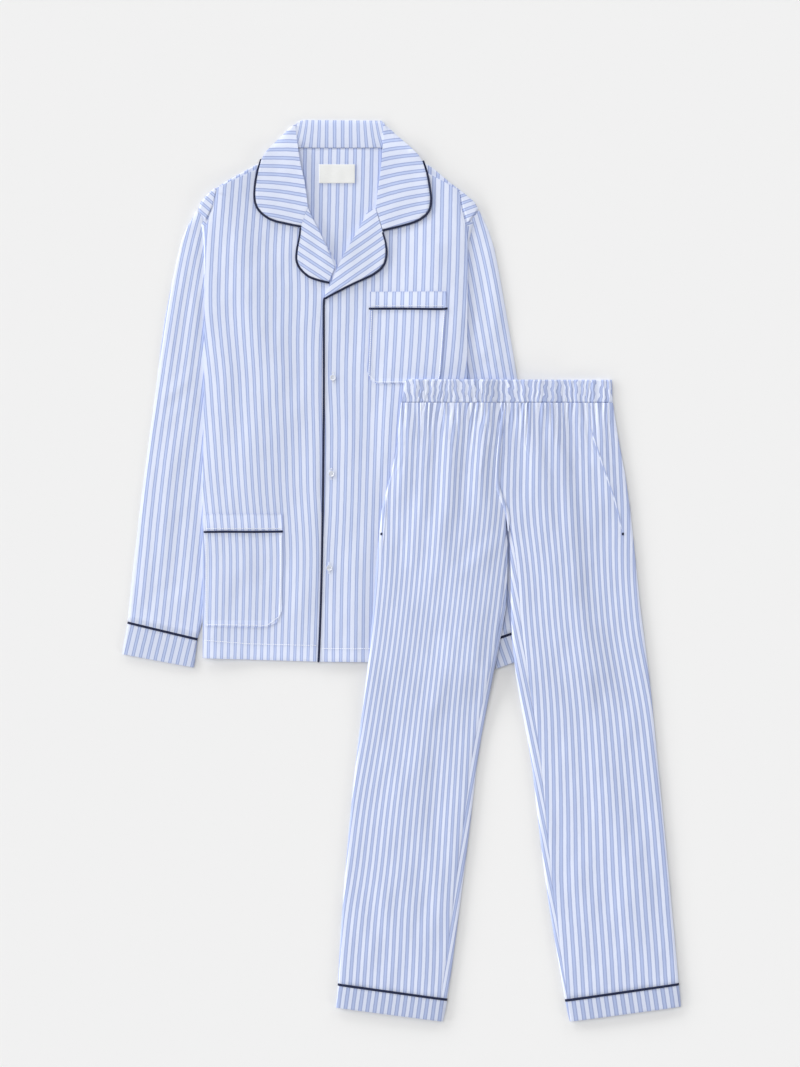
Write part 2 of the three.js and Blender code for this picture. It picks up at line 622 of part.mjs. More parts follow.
// The piping round the end of a sleeve or leg, between the cloth and its turned-up band
function bandPiping(above, below, tall, base) {
  const mix = (a, b, share) => THREE.MathUtils.lerp(a, b, share);
  const row = (share, z) => ({
    x1: mix(above.x1, below.x1, share),
    y1: mix(above.y1, below.y1, share),
    x2: mix(above.x2, below.x2, share),
    y2: mix(above.y2, below.y2, share),
    z,
  });
  return tube([row(0.1, 0), row(0.9, 0)], 14, 4, BAND_CLOTH, { base, tall: tall + 0.4 });
}

sleeve('left', SLEEVE_LEFT_ROWS, CUFF_LEFT_ROWS);
sleeve('right', SLEEVE_RIGHT_ROWS, CUFF_RIGHT_ROWS);

// The body bridges over the hidden inner part of each sleeve
function bodyLift(x, y) {
  const rows = x < 0 ? SLEEVE_LEFT_ROWS : SLEEVE_RIGHT_ROWS;
  const inner = Math.abs(readTable(rows, 'y2', 'x2', y));
  const past = inner - BRIDGE_REACH - Math.abs(x);
  return (SLEEVE_TALL + AIR) * (1 - ease(past / BRIDGE_FALL));
}

const bodyAcross = [0, 0.05, 0.1, 0.15, 0.2, 0.25, 0.31, 0.38, 0.5, 0.62, 0.69, 0.75, 0.8, 0.85, 0.9, 0.95, 1];
const back = sheet(
  plan(edgeCurve(BACK_ROWS, 'x1', 'y1'), edgeCurve(BACK_ROWS, 'x2', 'y2'), shares(16), bodyAcross),
  (point) => bodyLift(point.x, point.y),
  CLOTH,
);

// A front is joined to the back along its side edge and lifts softly off it inwards
function frontUnderside(point, fromSide) {
  const gap = SEAM + BODY_PUFF * ease(fromSide / 14);
  const fold = foldsAt(JACKET_FOLDS, point.x, point.y) * ease(fromSide / 40);
  return bodyLift(point.x, point.y) + CLOTH + gap + fold;
}

const sideToMiddle = [0, 0.02, 0.08, 0.17, 0.27, 0.38, 0.5, 0.63, 0.76, 0.88, 1];
const frontUnder = sheet(
  plan(edgeCurve(FRONT_UNDER_ROWS, 'x1', 'y1'), edgeCurve(FRONT_UNDER_ROWS, 'x2', 'y2'), shares(18), sideToMiddle),
  (point) => frontUnderside(point, point.u * 200),
  CLOTH,
);

// The over front steps up where it overlaps the under front
const OVERLAP_END = 14;
const OVERLAP_FALL = 40;
const middleToSide = sideToMiddle.map((u) => 1 - u).reverse();
const frontOver = sheet(
  plan(edgeCurve(FRONT_OVER_ROWS, 'x1', 'y1'), edgeCurve(FRONT_OVER_ROWS, 'x2', 'y2'), shares(20), middleToSide),
  (point) => {
    const overlap = (CLOTH + AIR) * (1 - ease((point.x - OVERLAP_END) / OVERLAP_FALL));
    return frontUnderside(point, (1 - point.u) * 200) + overlap;
  },
  CLOTH,
);

// The back comes round each shoulder in a soft roll and ends at a seam on the front side
function shoulderRoll(rows) {
  const [fold, seam] = [edgeCurve(rows, 'x1', 'y1'), edgeCurve(rows, 'x2', 'y2')];
  const high = CLOTH + SEAM + BODY_PUFF;
  const across = [
    { u: 1, z: high },
    { u: 0.55, z: high },
    { u: 0.12, z: high - 0.4 },
    { u: 0, z: high / 2 },
    { u: 0.1, z: 0.3 },
  ];
  const lift = (place, u) => bodyLift(place.x, place.y) + across[u].z;
  const outer = [];
  const inner = [];
  for (const v of shares(6)) {
    const [a, b] = [fold.getPoint(v), seam.getPoint(v)];
    const length = a.distanceTo(b);
    const at = (share) => a.clone().lerp(b, share);
    outer.push(across.map(({ u }, i) => ({ ...at(u), z: lift(at(u), i) + (i < 3 ? CLOTH : 0) })));
    inner.push(across.map(({ u }, i) => {
      const place = at(i < 3 ? u : u + CLOTH / length);
      return { ...place, z: lift(place, i) + (i === 4 ? 0.5 : 0) };
    }));
  }
  return wall(outer, inner);
}

add(jacket, 'jacket_back', joined([
  back.geometry,
  shoulderRoll(SHOULDER_LEFT_ROWS),
  shoulderRoll(SHOULDER_RIGHT_ROWS),
]));
add(jacket, 'jacket_front_under', frontUnder.geometry);
add(jacket, 'jacket_front_over', frontOver.geometry);

// A lapel lies on its front and turns down round the front's edge along the roll line
const ROLL_SHARES = [0, 0.25, 0.5, 0.75, 0.93, 1];

function lapel(rows, front, rollAtEnd, lift) {
  const trim = cutBack(rows, rollAtEnd);
  const across = rollAtEnd ? ROLL_SHARES : ROLL_SHARES.map((u) => 1 - u).reverse();
  const points = plan(edgeCurve(trim, 'x1', 'y1'), edgeCurve(trim, 'x2', 'y2'), shares(14), across);
  return sheet(points, (point) => {
    const toRoll = rollAtEnd ? point.u : 1 - point.u;
    return heightOn(front.top, point.x, point.y) + AIR + lift * (1 - 0.6 * ease((toRoll - 0.8) / 0.2));
  }, BAND_CLOTH);
}

const LAPEL_SPRING = 0.6;
const lapelLeft = lapel(LAPEL_LEFT_ROWS, frontUnder, true, LAPEL_SPRING);
const lapelRight = lapel(LAPEL_RIGHT_ROWS, frontOver, false, LAPEL_SPRING);
add(jacket, 'lapel_left', lapelLeft.geometry);
add(jacket, 'lapel_right', lapelRight.geometry);

// The collar: two leaves on the shoulders, and the stand behind the neck with the fall folded under it
const LEAF_SPRING = 0.5;
const NECK_LEVEL = 1.9;
const FALL = { left: -58, right: 70, low: 774, high: 809, thick: CLOTH };

function leaf(rows, front, rollAtEnd) {
  const trim = cutBack(rows, rollAtEnd);
  const across = rollAtEnd ? ROLL_SHARES : ROLL_SHARES.map((u) => 1 - u).reverse();
  const points = plan(edgeCurve(trim, 'x1', 'y1'), edgeCurve(trim, 'x2', 'y2'), shares(18), across);
  return sheet(points, (point) => {
    const fromRoll = rollAtEnd ? 1 - point.u : point.u;
    const wrap = THREE.MathUtils.lerp(
      rows[Math.floor(point.v * (rows.length - 1))].wrap,
      rows[Math.ceil(point.v * (rows.length - 1))].wrap,
      (point.v * (rows.length - 1)) % 1,
    );
    const lying = heightOn(front.top, point.x, point.y) + AIR + LEAF_SPRING;
    const beyond = ease((point.y - 766) / 26);
    const high = THREE.MathUtils.lerp(lying, NECK_LEVEL, beyond);
    return high * (1 - beyond * wrap * fromRoll ** 4);
  }, COLLAR_CLOTH);
}

const leafLeft = leaf(LEAF_LEFT_ROWS, frontUnder, true);
const leafRight = leaf(LEAF_RIGHT_ROWS, frontOver, false);
const stand = sheet(
  plan(edgeCurve(STAND_ROWS, 'x1', 'y1'), edgeCurve(STAND_ROWS, 'x2', 'y2'), shares(6), shares(6)),
  (point) => readTable(STAND_ROWS, 'y1', 'z', point.y),
  COLLAR_CLOTH,
);
const fall = sheet(
  [FALL.low, FALL.high].map((y) => [{ x: FALL.left, y }, { x: FALL.right, y }]),
  onSurface,
  FALL.thick,
);
add(jacket, 'collar', joined([leafLeft.geometry, leafRight.geometry, stand.geometry, fall.geometry]));

// Piping on the collar, the lapels and the front edge
const pipedPart = (rows) => rows.filter((row) => !(row.wrap > 0.7));
const startOf = (row) => ({ x: row.x1, y: row.y1 });
const endOf = (row) => ({ x: row.x2, y: row.y2 });
const collarRest = 0.5;
add(jacket, 'collar_piping_left', cordOn(frontUnder.top, pipedPart(LEAF_LEFT_ROWS).map(startOf), 20, collarRest), 'piping');
add(jacket, 'collar_piping_right', cordOn(frontOver.top, pipedPart(LEAF_RIGHT_ROWS).map(endOf), 20, collarRest), 'piping');
const lapelLeftLine = LAPEL_LEFT_ROWS.slice(1).map(startOf);
const lapelRightLine = LAPEL_RIGHT_ROWS.slice(1, -1).map(endOf);
add(jacket, 'lapel_piping_left', cordOn(frontUnder.top, lapelLeftLine, 14), 'piping');
add(jacket, 'lapel_piping_right', cordOn(frontOver.top, lapelRightLine, 16), 'piping');
const frontEdgeLine = FRONT_OVER_ROWS.slice(0, 7).map((row) => ({ x: row.x1 - PIPING_ROOM - SEAM, y: row.y1 }));
add(jacket, 'front_edge_piping', cordOn(frontUnder.top, frontEdgeLine, 16), 'piping');

// Pockets, each with a hem band and a line of piping between
const POCKET_AIR = 0.9;
const POCKET_ACROSS = [0, 0.08, 0.2, 0.4, 0.6, 0.8, 1];

function pocket(name, front, bagRows, bandRows, line) {
  const lying = (point) => heightOn(front.top, point.x, point.y) + POCKET_AIR;
  const cut = (rows, along) =>
    sheet(plan(edgeCurve(rows, 'x1', 'y1'), edgeCurve(rows, 'x2', 'y2'), shares(along), POCKET_ACROSS), lying, CLOTH);
  add(jacket, name, cut(bagRows, 6).geometry);
  add(jacket, `${name}_band`, cut(bandRows, 2).geometry);
  add(jacket, `${name}_piping`, cordOn(front.top, line, 10, POCKET_AIR), 'piping');
}

pocket('chest_pocket', frontOver, CHEST_POCKET_ROWS, CHEST_BAND_ROWS, CHEST_PIPING);
pocket('side_pocket', frontUnder, SIDE_POCKET_ROWS, SIDE_BAND_ROWS, SIDE_PIPING);

// The neck label lies on the inside of the back
add(jacket, 'neck_label', sheet(
  plan(edgeCurve(LABEL_ROWS, 'x1', 'y1'), edgeCurve(LABEL_ROWS, 'x2', 'y2'), shares(2), shares(4)),
  (point) => heightOn(back.top, point.x, point.y) + SEAM,
  LABEL_CLOTH,
).geometry, 'label');

// Buttons with a raised rim, sewn on the over front
const BUTTON_PROFILE = [
  { radius: 0, z: 0 },
  { radius: 0.86, z: 0 },
  { radius: 1, z: 0.45 },
  { radius: 0.92, z: 1 },
  { radius: 0.74, z: 0.95 },
  { radius: 0.6, z: 0.62 },
  { radius: 0, z: 0.62 },
];

BUTTONS.forEach(({ x, y }, i) => {
  const profile = BUTTON_PROFILE.map(({ radius, z }) => new THREE.Vector2(radius * BUTTON_RADIUS, z * BUTTON_THICK));
  const geometry = new THREE.LatheGeometry(profile, 14).rotateX(Math.PI / 2);
  const corners = [-1, 0, 1].flatMap((dx) => [-1, 0, 1].map((dy) => [x + dx * BUTTON_RADIUS, y + dy * BUTTON_RADIUS]));
  const seat = Math.max(...corners.map(([px, py]) => heightOn(frontOver.top, px, py)));
  geometry.translate(x, y, seat + SEAM);
  add(jacket, `button_${i + 1}`, geometry, 'button');
});

// The jacket's upper face under the trousers, held a little past its edges and then falling to the surface
function jacketUnder(x, y) {
  const [jx, jy] = [x + TROUSERS_AT.x, y + TROUSERS_AT.y];
  const down = (gap) => 1 - ease((gap - DRAPE_REACH) / DRAPE_FALL);
  const rightEdge = 198;
  const pocketRise = (CLOTH + POCKET_AIR) * ease((jy - 385) / 25);
  const front = 2 * CLOTH + SEAM + BODY_PUFF + pocketRise;
  const body = bodyLift(Math.min(jx, rightEdge), Math.max(jy, 0)) + front + 2 * AIR;
  const pastBody = Math.hypot(Math.max(jx - rightEdge, 0), Math.max(-4 - jy, 0));
  const rows = [...SLEEVE_RIGHT_ROWS, ...CUFF_RIGHT_ROWS];
  const pastSleeve = Math.hypot(Math.max(jx - readTable(rows, 'y1', 'x1', jy), 0), Math.max(-10 - jy, 0));
  return Math.max(body * down(pastBody), (CUFF_TALL + 2 * AIR) * down(pastSleeve));
}

const trouserFolds = (x, y) => foldsAt(TROUSER_FOLDS, x, y);
const asPlan = (rows) => rows.map((row) => ({ ...row, y1: -row.down1, y2: -row.down2 }));

// The gathered wave across the front: its crests are uneven in place and height
function gatherWave(x, share) {
  const across = ((x + 160) / 320) * GATHERS;
  const uneven = 0.25 * Math.sin(across * 1.7) + 0.2 * Math.sin(across * 0.61 + 2);
  const crest = 0.5 + 0.5 * Math.cos(2 * Math.PI * (across + uneven));
  return share * GATHER_TALL * crest * (0.75 + 0.25 * Math.sin(across * 2.3 + 1));
}

add(trousers, 'waistband', tube(asPlan(WAISTBAND_ROWS), GATHERS * GATHER_POINTS, 10, BAND_CLOTH, {
  base: jacketUnder,
  tall: WAIST_TALL,
  raise: (x) => gatherWave(x, 1),
}));

// A leg is a flattened tube of two panels: the front on top, and the back under it,
// which comes a little way round the inner fold to the seam
const CROTCH_DOWN = 232;
const LEG_ROWS = 17;
const FRONT_POINTS = 10;
const GATHERED_POINTS = (GATHERS * GATHER_POINTS) / 2;
const LEAST_ROLL = 3;

// The share along a leg's table that lies a distance down from the waistband's top edge
function legShare(rows, down) {
  for (let i = 1; i < rows.length; i += 1) {
    const [low, high] = [rows[i - 1].innerDown, rows[i].innerDown];
    if (down <= high) return (i - 1 + (down - low) / (high - low)) / (rows.length - 1);
  }
  return 1;
}

// One section of a leg: its two fold edges, and how far the back comes round the inner one
function legRow(rows, sign, down) {
  const share = legShare(rows, down);
  const outer = edgeCurve(rows, 'outer', 'outerDown', -1).getPoint(share);
  const inner = edgeCurve(rows, 'inner', 'innerDown', -1).getPoint(share);
  const open = -inner.y > CROTCH_DOWN;
  const roll = open ? Math.max(readTable(rows, 'innerDown', 'roll', down), LEAST_ROLL) : 0;
  return { outer, inner: { x: inner.x + sign * SEAM, y: inner.y }, open, roll, width: outer.distanceTo(inner) };
}

// One face point of a leg section, at a share of the width from its outer fold
function legPoint(row, side, fromOuter, inset, share) {
  const s = fromOuter * 2 - 1;
  return flattened(row.outer, row.inner, side, s, {
    base: jacketUnder,
    tall: LEG_TALL,
    inset,
    flatEnd: row.open ? 0 : 1,
    raise: (x, y) => trouserFolds(x, y) + (share ? gatherWave(x, share) : 0),
  });
}

function legFront(row, inset, count) {
  const reach = 1 - (row.roll + SEAM / 2) / row.width;
  return shares(count).map((u) => legPoint(row, 1, reach * (1 - Math.cos((u * Math.PI) / 2)), inset, row.share));
}

const BACK_UNDER = [0.05, 0.15, 0.28, 0.42, 0.56, 0.7, 0.82, 0.93, 1];

function legBack(row, inset) {
  const near = (run) => {
    const past = row.open ? run - row.roll : run;
    const side = row.open && past < 0 ? 1 : -1;
    return legPoint(row, side, 1 - Math.abs(past) / row.width, inset, 0);
  };
  const roll = Math.max(row.roll, LEAST_ROLL);
  const round = [SEAM / 2, roll * 0.4, roll * 0.8, roll].map(near);
  const under = BACK_UNDER.map((share) => legPoint(row, -1, (1 - share) * (1 - roll / row.width), inset, 0));
  return [...round, ...under];
}

function addLeg(side, rows, sign, bandRows) {
  const top = rows[0].innerDown + SEAM;
  const gathered = GATHER_ROWS.map((row) => ({ ...legRow(rows, sign, top + row.down), share: row.share }));
  const first = top + GATHER_ROWS.at(-1).down;
  const last = rows.at(-1).innerDown;
  const plain = shares(LEG_ROWS).slice(1).map((v) => legRow(rows, sign, first + (last - first) * v));
  const fronts = (inset) => [
    ...gathered.map((row) => legFront(row, inset, GATHERED_POINTS)),
    ...plain.map((row) => legFront(row, inset, FRONT_POINTS)),
  ];
  const backs = (inset) => [...gathered, ...plain].map((row) => legBack(row, inset));
  add(trousers, `leg_front_${side}`, wall(fronts(0), fronts(CLOTH)));
  add(trousers, `leg_back_${side}`, wall(backs(0), backs(CLOTH)));
  const flatBand = asPlan(bandRows);
  const seat = { base: jacketUnder, tall: LEG_BAND_TALL };
  add(trousers, `leg_band_${side}`, tube(flatBand, 12, 6, BAND_CLOTH, seat));
  const end = rows.at(-1);
  const [a, b] = [{ x: end.outer, y: -end.outerDown }, { x: end.inner, y: -end.innerDown }];
  const [left, right] = a.x < b.x ? [a, b] : [b, a];
  const above = { x1: left.x, y1: left.y, x2: right.x, y2: right.y };
  const piping = bandPiping(above, flatBand[0], LEG_BAND_TALL, jacketUnder);
  add(trousers, `leg_piping_${side}`, piping, 'piping');
}

addLeg('left', LEG_LEFT_ROWS, -1, LEG_BAND_LEFT_ROWS);
addLeg('right', LEG_RIGHT_ROWS, 1, LEG_BAND_RIGHT_ROWS);

// The set, with its origin under the middle of its box
trousers.position.set(TROUSERS_AT.x, TROUSERS_AT.y, 0);
const laid = new THREE.Group();
laid.add(jacket, trousers);
laid.updateMatrixWorld(true);
const middle = new THREE.Box3().setFromObject(laid).getCenter(new THREE.Vector3());
laid.position.set(-middle.x, -middle.y, 0);

export default laid;
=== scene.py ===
import math

import bpy
import numpy as np
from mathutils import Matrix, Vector


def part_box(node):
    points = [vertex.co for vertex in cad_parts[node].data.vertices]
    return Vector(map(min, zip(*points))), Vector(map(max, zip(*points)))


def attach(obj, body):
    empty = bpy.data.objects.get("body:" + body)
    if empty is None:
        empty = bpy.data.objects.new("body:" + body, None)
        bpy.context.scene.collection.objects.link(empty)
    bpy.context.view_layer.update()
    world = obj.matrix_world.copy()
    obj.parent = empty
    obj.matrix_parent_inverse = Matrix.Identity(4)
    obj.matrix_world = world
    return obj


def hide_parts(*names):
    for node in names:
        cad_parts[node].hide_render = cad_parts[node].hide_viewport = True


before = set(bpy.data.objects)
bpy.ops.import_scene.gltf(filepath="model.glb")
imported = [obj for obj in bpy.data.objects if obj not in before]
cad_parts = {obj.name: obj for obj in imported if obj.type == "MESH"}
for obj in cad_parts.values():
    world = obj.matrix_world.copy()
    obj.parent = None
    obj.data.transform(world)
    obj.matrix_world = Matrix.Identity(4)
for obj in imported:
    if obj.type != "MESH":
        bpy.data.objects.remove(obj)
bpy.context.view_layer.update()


# Jacket back
# One panel of pale blue cotton poplin with woven stripes, cut on the straight grain. It lies flat
# under everything else and comes a little way over each shoulder to the seam with the front.

JACKET = np.array([-0.09835, -0.13705])  # the middle of the hem, seen from above
REPEAT = 0.0124  # from one stripe to the next


def rgb(red, green, blue):
    """A shader colour from the values that a colour card gives."""
    def linear(value):
        value /= 255
        return value / 12.92 if value <= 0.04045 else ((value + 0.055) / 1.055) ** 2.4
    return (linear(red), linear(green), linear(blue), 1)


def select_only(piece):
    bpy.ops.object.select_all(action="DESELECT")
    bpy.context.view_layer.objects.active = piece
    piece.select_set(True)


def cut_piece(node, name):
    """A piece with its solid's form, as one connected mesh of four-sided faces where it can be."""
    piece = bpy.data.objects.new(name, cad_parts[node].data.copy())
    bpy.context.scene.collection.objects.link(piece)
    piece.data.materials.clear()
    select_only(piece)
    bpy.ops.object.mode_set(mode="EDIT")
    bpy.ops.mesh.select_mode(type="VERT")
    bpy.ops.mesh.select_all(action="SELECT")
    bpy.ops.mesh.remove_doubles(threshold=0.00001)
    bpy.ops.mesh.tris_convert_to_quads(face_threshold=1.0, shape_threshold=2.4)
    bpy.ops.object.mode_set(mode="OBJECT")
    return piece


def points_of(piece):
    points = np.empty(len(piece.data.vertices) * 3)
    piece.data.vertices.foreach_get("co", points)
    return points.reshape(-1, 3)


def move_points(piece, points):
    piece.data.vertices.foreach_set("co", points.ravel())
    piece.data.update()


def edges_of(piece):
    edges = np.empty(len(piece.data.edges) * 2, np.int64)
    piece.data.edges.foreach_get("vertices", edges)
    return edges.reshape(-1, 2)


def run_of(points, edges):
    """How long each edge is, seen from above."""
    step = points[edges[:, 0]] - points[edges[:, 1]]
    return np.hypot(step[:, 0], step[:, 1])


def finer(piece, cuts, least=0.002):
    """Cuts every edge but the short upright ones, so that the cloth can take its folds."""
    longer = run_of(points_of(piece), edges_of(piece)) > least
    for group in (piece.data.vertices, piece.data.polygons):
        group.foreach_set("select", np.zeros(len(group), bool))
    piece.data.edges.foreach_set("select", longer)
    select_only(piece)
    bpy.ops.object.mode_set(mode="EDIT")
    bpy.ops.mesh.select_mode(type="EDGE")
    bpy.ops.mesh.subdivide(number_cuts=cuts)
    bpy.ops.object.mode_set(mode="OBJECT")


def soften(piece, rounds):
    """Evens out the heights along the cloth, and leaves its thickness and its outline."""
    upright = 0.0007  # the edges through the cloth's thickness are shorter than this from above
    points, edges = points_of(piece), edges_of(piece)
    a, b = edges[run_of(points, edges) > upright].T
    count = np.bincount(np.concatenate([a, b]), minlength=len(points))
    height = points[:, 2]
    for _ in range(rounds):
        total = np.bincount(a, height[b], len(points)) + np.bincount(b, height[a], len(points))
        height = np.where(count > 0, (height + total / np.maximum(count, 1)) / 2, height)
    points[:, 2] = height
    move_points(piece, points)


def cloth_from(node, name, cuts, rounds=0, least=0.002):
    """A piece of cloth with its solid's form, fine enough for folds, with its heights evened out."""
    piece = cut_piece(node, name)
    finer(piece, cuts, least)
    soften(piece, rounds)
    return piece


def waves(x, y, seed, shortest, longest):
    """Low uneven swells about 1 high, longer down the cloth than across it."""
    chance = np.random.default_rng(seed)
    height = np.zeros_like(x)
    swells = 16
    for _ in range(swells):
        length = chance.uniform(shortest, longest)
        turn = chance.normal(0, 0.55)
        phase = chance.uniform(0, 2 * math.pi)
        along = x * math.cos(turn) + y * math.sin(turn)
        height += np.sin(2 * math.pi * along / length + phase)
    return height / math.sqrt(swells)


def creases(x, y, lines):
    """The rise of soft folds, each along a curve: (height, half width, points), all in millimetres.

    Each fold is a ridge with a shallow trough along its right side, and fades towards its ends.
    """
    x, y = x * 1000, y * 1000
    rise = np.zeros_like(x)
    steps = 24
    share = np.linspace(0, 1, steps + 1)[:, None]
    for tall, wide, corners in lines:
        path = np.zeros((steps + 1, 2))
        last = len(corners) - 1
        for i, corner in enumerate(corners):
            weight = math.comb(last, i) * share**i * (1 - share) ** (last - i)
            path += weight * np.array(corner, float)
        nearest = np.full_like(x, 1e9)
        aside = np.zeros_like(x)
        place = np.zeros_like(x)
        for i in range(steps):
            step = path[i + 1] - path[i]
            size = np.hypot(*step)
            dx, dy = x - path[i][0], y - path[i][1]
            t = np.clip((dx * step[0] + dy * step[1]) / size**2, 0, 1)
            gap = np.hypot(dx - t * step[0], dy - t * step[1])
            side = (dx * step[1] - dy * step[0]) / size
            closer = gap < nearest
            nearest = np.where(closer, gap, nearest)
            aside = np.where(closer, np.sign(side) * gap, aside)
            place = np.where(closer, (i + t) / steps, place)
        fade = np.sin(np.pi * np.clip(place, 0.04, 0.96)) ** 0.7
        ridge = np.exp(-((aside / wide) ** 2)) - 0.4 * np.exp(-(((aside - 1.7 * wide) / wide) ** 2))
        past = np.exp(-((np.maximum(nearest - np.abs(aside), 0) / wide) ** 2))
        rise += 1.2 * tall / 1000 * ridge * fade * past
    return rise


def follow_stripes(x, y, start, leans, spacing):
    """How many stripes lie to the left of each place.

    One stripe passes through start, and leans gives how far it goes to the right for each 100
    towards the hem, by height. spacing gives the distance from stripe to stripe, by height.
    """
    x, y = x * 1000, y * 1000
    step, margin = 4.0, 10
    levels = np.arange(y.min() - margin, y.max() + margin, step)

    def evened(table, reach, unit=1):
        """The table's values at each level, evened out over this many levels above and below."""
        values = np.interp(levels, sorted(table), [table[height] for height in sorted(table)]) / unit
        window = 2 * reach + 1
        return np.convolve(np.pad(values, reach, mode="edge"), np.ones(window) / window, mode="valid")

    lean = evened(leans, 4, 100)
    guide = -np.concatenate([[0], np.cumsum((lean[1:] + lean[:-1]) / 2 * step)])
    guide += start[0] - np.interp(start[1], levels, guide)
    return (x - np.interp(y, levels, guide)) / np.interp(y, levels, evened(spacing, 8))


def lay_grain(piece, groups):
    """Writes the weave's own directions: across the stripes, and along them, in stripe repeats.

    groups is a list of (test, rule): a face takes the first rule whose test holds at its middle.
    """
    mesh = piece.data
    points = points_of(piece)
    middles = np.empty(len(mesh.polygons) * 3)
    mesh.polygons.foreach_get("center", middles)
    middles = middles.reshape(-1, 3)
    corners = np.empty(len(mesh.loops), np.int64)
    mesh.loops.foreach_get("vertex_index", corners)
    sizes = np.empty(len(mesh.polygons), np.int64)
    mesh.polygons.foreach_get("loop_total", sizes)
    group_of = np.full(len(mesh.polygons), -1)
    for i, (test, _) in enumerate(groups):
        group_of[(group_of < 0) & test(*middles.T)] = i
    by_corner = np.repeat(group_of, sizes)
    grain = np.zeros((len(corners), 2))
    for i, (_, rule) in enumerate(groups):
        if not (by_corner == i).any():
            continue
        across, along = rule(points[:, 0], points[:, 1])
        here = by_corner == i
        grain[here] = np.stack([across, along], axis=1)[corners[here]]
    layer = mesh.uv_layers.new(name="grain")
    layer.data.foreach_set("uv", grain.ravel())


def anywhere(x, y, z):
    return np.ones(len(x), bool)


def start_finish(name, levels):
    """A material, and its shader with these levels all over."""
    material = bpy.data.materials.new(name)
    material.use_nodes = True
    shader = material.node_tree.nodes["Principled BSDF"]
    for socket, level in levels.items():
        shader.inputs[socket].default_value = level
    return material, shader


def add_node(material, kind, inputs, **settings):
    """A node of this kind, with each input at a value or joined to another node's output."""
    node = material.node_tree.nodes.new("ShaderNode" + kind)
    for setting, value in settings.items():
        setattr(node, setting, value)
    for socket, value in inputs.items():
        if isinstance(value, bpy.types.NodeSocket):
            material.node_tree.links.new(value, node.inputs[socket])
        else:
            node.inputs[socket].default_value = value
    return node


def colour_by(material, value, stops):
    """A colour that follows a value, by stops of (value, colour)."""
    node = add_node(material, "ValToRGB", {"Fac": value})
    ramp = node.color_ramp
    ramp.elements[0].position, ramp.elements[0].color = stops[0]
    ramp.elements[1].position, ramp.elements[1].color = stops[-1]
    for position, colour in stops[1:-1]:
        ramp.elements.new(position).color = colour
    return node.outputs["Color"]


def end_finish(material, shader, colour, height=None, strength=0.0, distance=0.0001):
    """Joins the colour to the shader and, for what is woven, the small relief of its threads."""
    links = material.node_tree.links
    links.new(colour, shader.inputs["Base Color"])
    if height is not None:
        bump = add_node(material, "Bump", {"Height": height, "Strength": strength, "Distance": distance})
        links.new(bump.outputs["Normal"], shader.inputs["Normal"])
    return material


def striped_cotton(name, band, ground, line, fill):
    """Poplin woven in stripes: band is the share of each repeat between its two darker lines."""
    thread = 0.0007  # from one woven thread's top to the next but one
    material, shader = start_finish(name, {
        "Roughness": 0.84, "Specular IOR Level": 0.18, "Sheen Weight": 0.06, "Sheen Roughness": 0.45})
    grain = add_node(material, "UVMap", {}, uv_map="grain").outputs[0]

    def maths(kind, first, second=0.5):
        return add_node(material, "Math", {0: first, 1: second}, operation=kind).outputs[0]

    def ranged(value, lowest, highest, low, high):
        """The value from lowest to highest, turned into one from low to high."""
        return add_node(material, "MapRange", {
            "Value": value, "From Min": lowest, "From Max": highest,
            "To Min": low, "To Max": high}).outputs[0]

    def threads(scale, low, high, detail=2.0):
        """A tone that changes from thread to thread."""
        stretch = add_node(material, "Mapping", {"Vector": grain, "Scale": scale}).outputs[0]
        noise = add_node(material, "TexNoise", {"Vector": stretch, "Scale": 1, "Detail": detail})
        return ranged(noise.outputs["Fac"], 0.3, 0.7, low, high)

    across, along = add_node(material, "SeparateXYZ", {0: grain}).outputs[:2]
    waver = threads((0.8, 1.3, 1), -0.012, 0.012)
    place = maths("FRACT", maths("ADD", across, waver))
    first, last, wide = 0.5 - band / 2, 0.5 + band / 2, band * 0.22
    stripe = colour_by(material, place, [
        (first - 0.02, ground), (first + 0.01, line), (first + wide, line), (first + wide + 0.03, fill),
        (last - wide - 0.03, fill), (last - wide, line), (last - 0.01, line), (last + 0.02, ground)])
    warp = threads((60, 1.6, 1), 0.965, 1.02)
    weft = threads((1.6, 60, 1), 0.98, 1.015)
    cloudy = threads((0.22, 0.1, 1), 0.98, 1.015, 3.0)
    doubled = add_node(material, "Attribute", {}, attribute_name="doubled").outputs["Fac"]
    paler = ranged(doubled, 0.2, 0.6, 1.0, 1.06)
    tone = maths("MULTIPLY", maths("MULTIPLY", warp, weft), maths("MULTIPLY", cloudy, paler))
    shade = add_node(material, "Mix", {"Factor": 1, "A": stripe, "B": tone},
                     data_type="RGBA", blend_type="MULTIPLY")
    turns = 2 * math.pi * REPEAT / thread
    woven = maths("MULTIPLY", maths("SINE", maths("MULTIPLY", across, turns)),
                  maths("SINE", maths("MULTIPLY", along, turns)))
    height = maths("ADD", maths("MULTIPLY", woven, 0.35), maths("MULTIPLY", warp, 3.0))
    return end_finish(material, shader, shade.outputs["Result"], height, 0.35, 0.00012)


GROUND = rgb(225, 232, 252)
COTTON = striped_cotton("striped_cotton_jacket", 0.43, GROUND, rgb(163, 177, 221), rgb(194, 208, 243))


def mark_doubled(piece, depth):
    """Marks where the cloth is turned under, and so is two layers thick: depth is above 0 there."""
    points = points_of(piece)
    layer = piece.data.attributes.new("doubled", "FLOAT", "POINT")
    layer.data.foreach_set("value", depth(points[:, 0], points[:, 1]))


def soft_rim(piece, width=0.00045, segments=2, sharpest=50):
    """Rounds the edges that turn by more than sharpest degrees, as a turned-in edge of cloth is."""
    select_only(piece)
    bevel = piece.modifiers.new("rim", "BEVEL")
    bevel.width = width
    bevel.segments = segments
    bevel.limit_method = "ANGLE"
    bevel.angle_limit = math.radians(sharpest)
    bpy.ops.object.modifier_apply(modifier="rim")


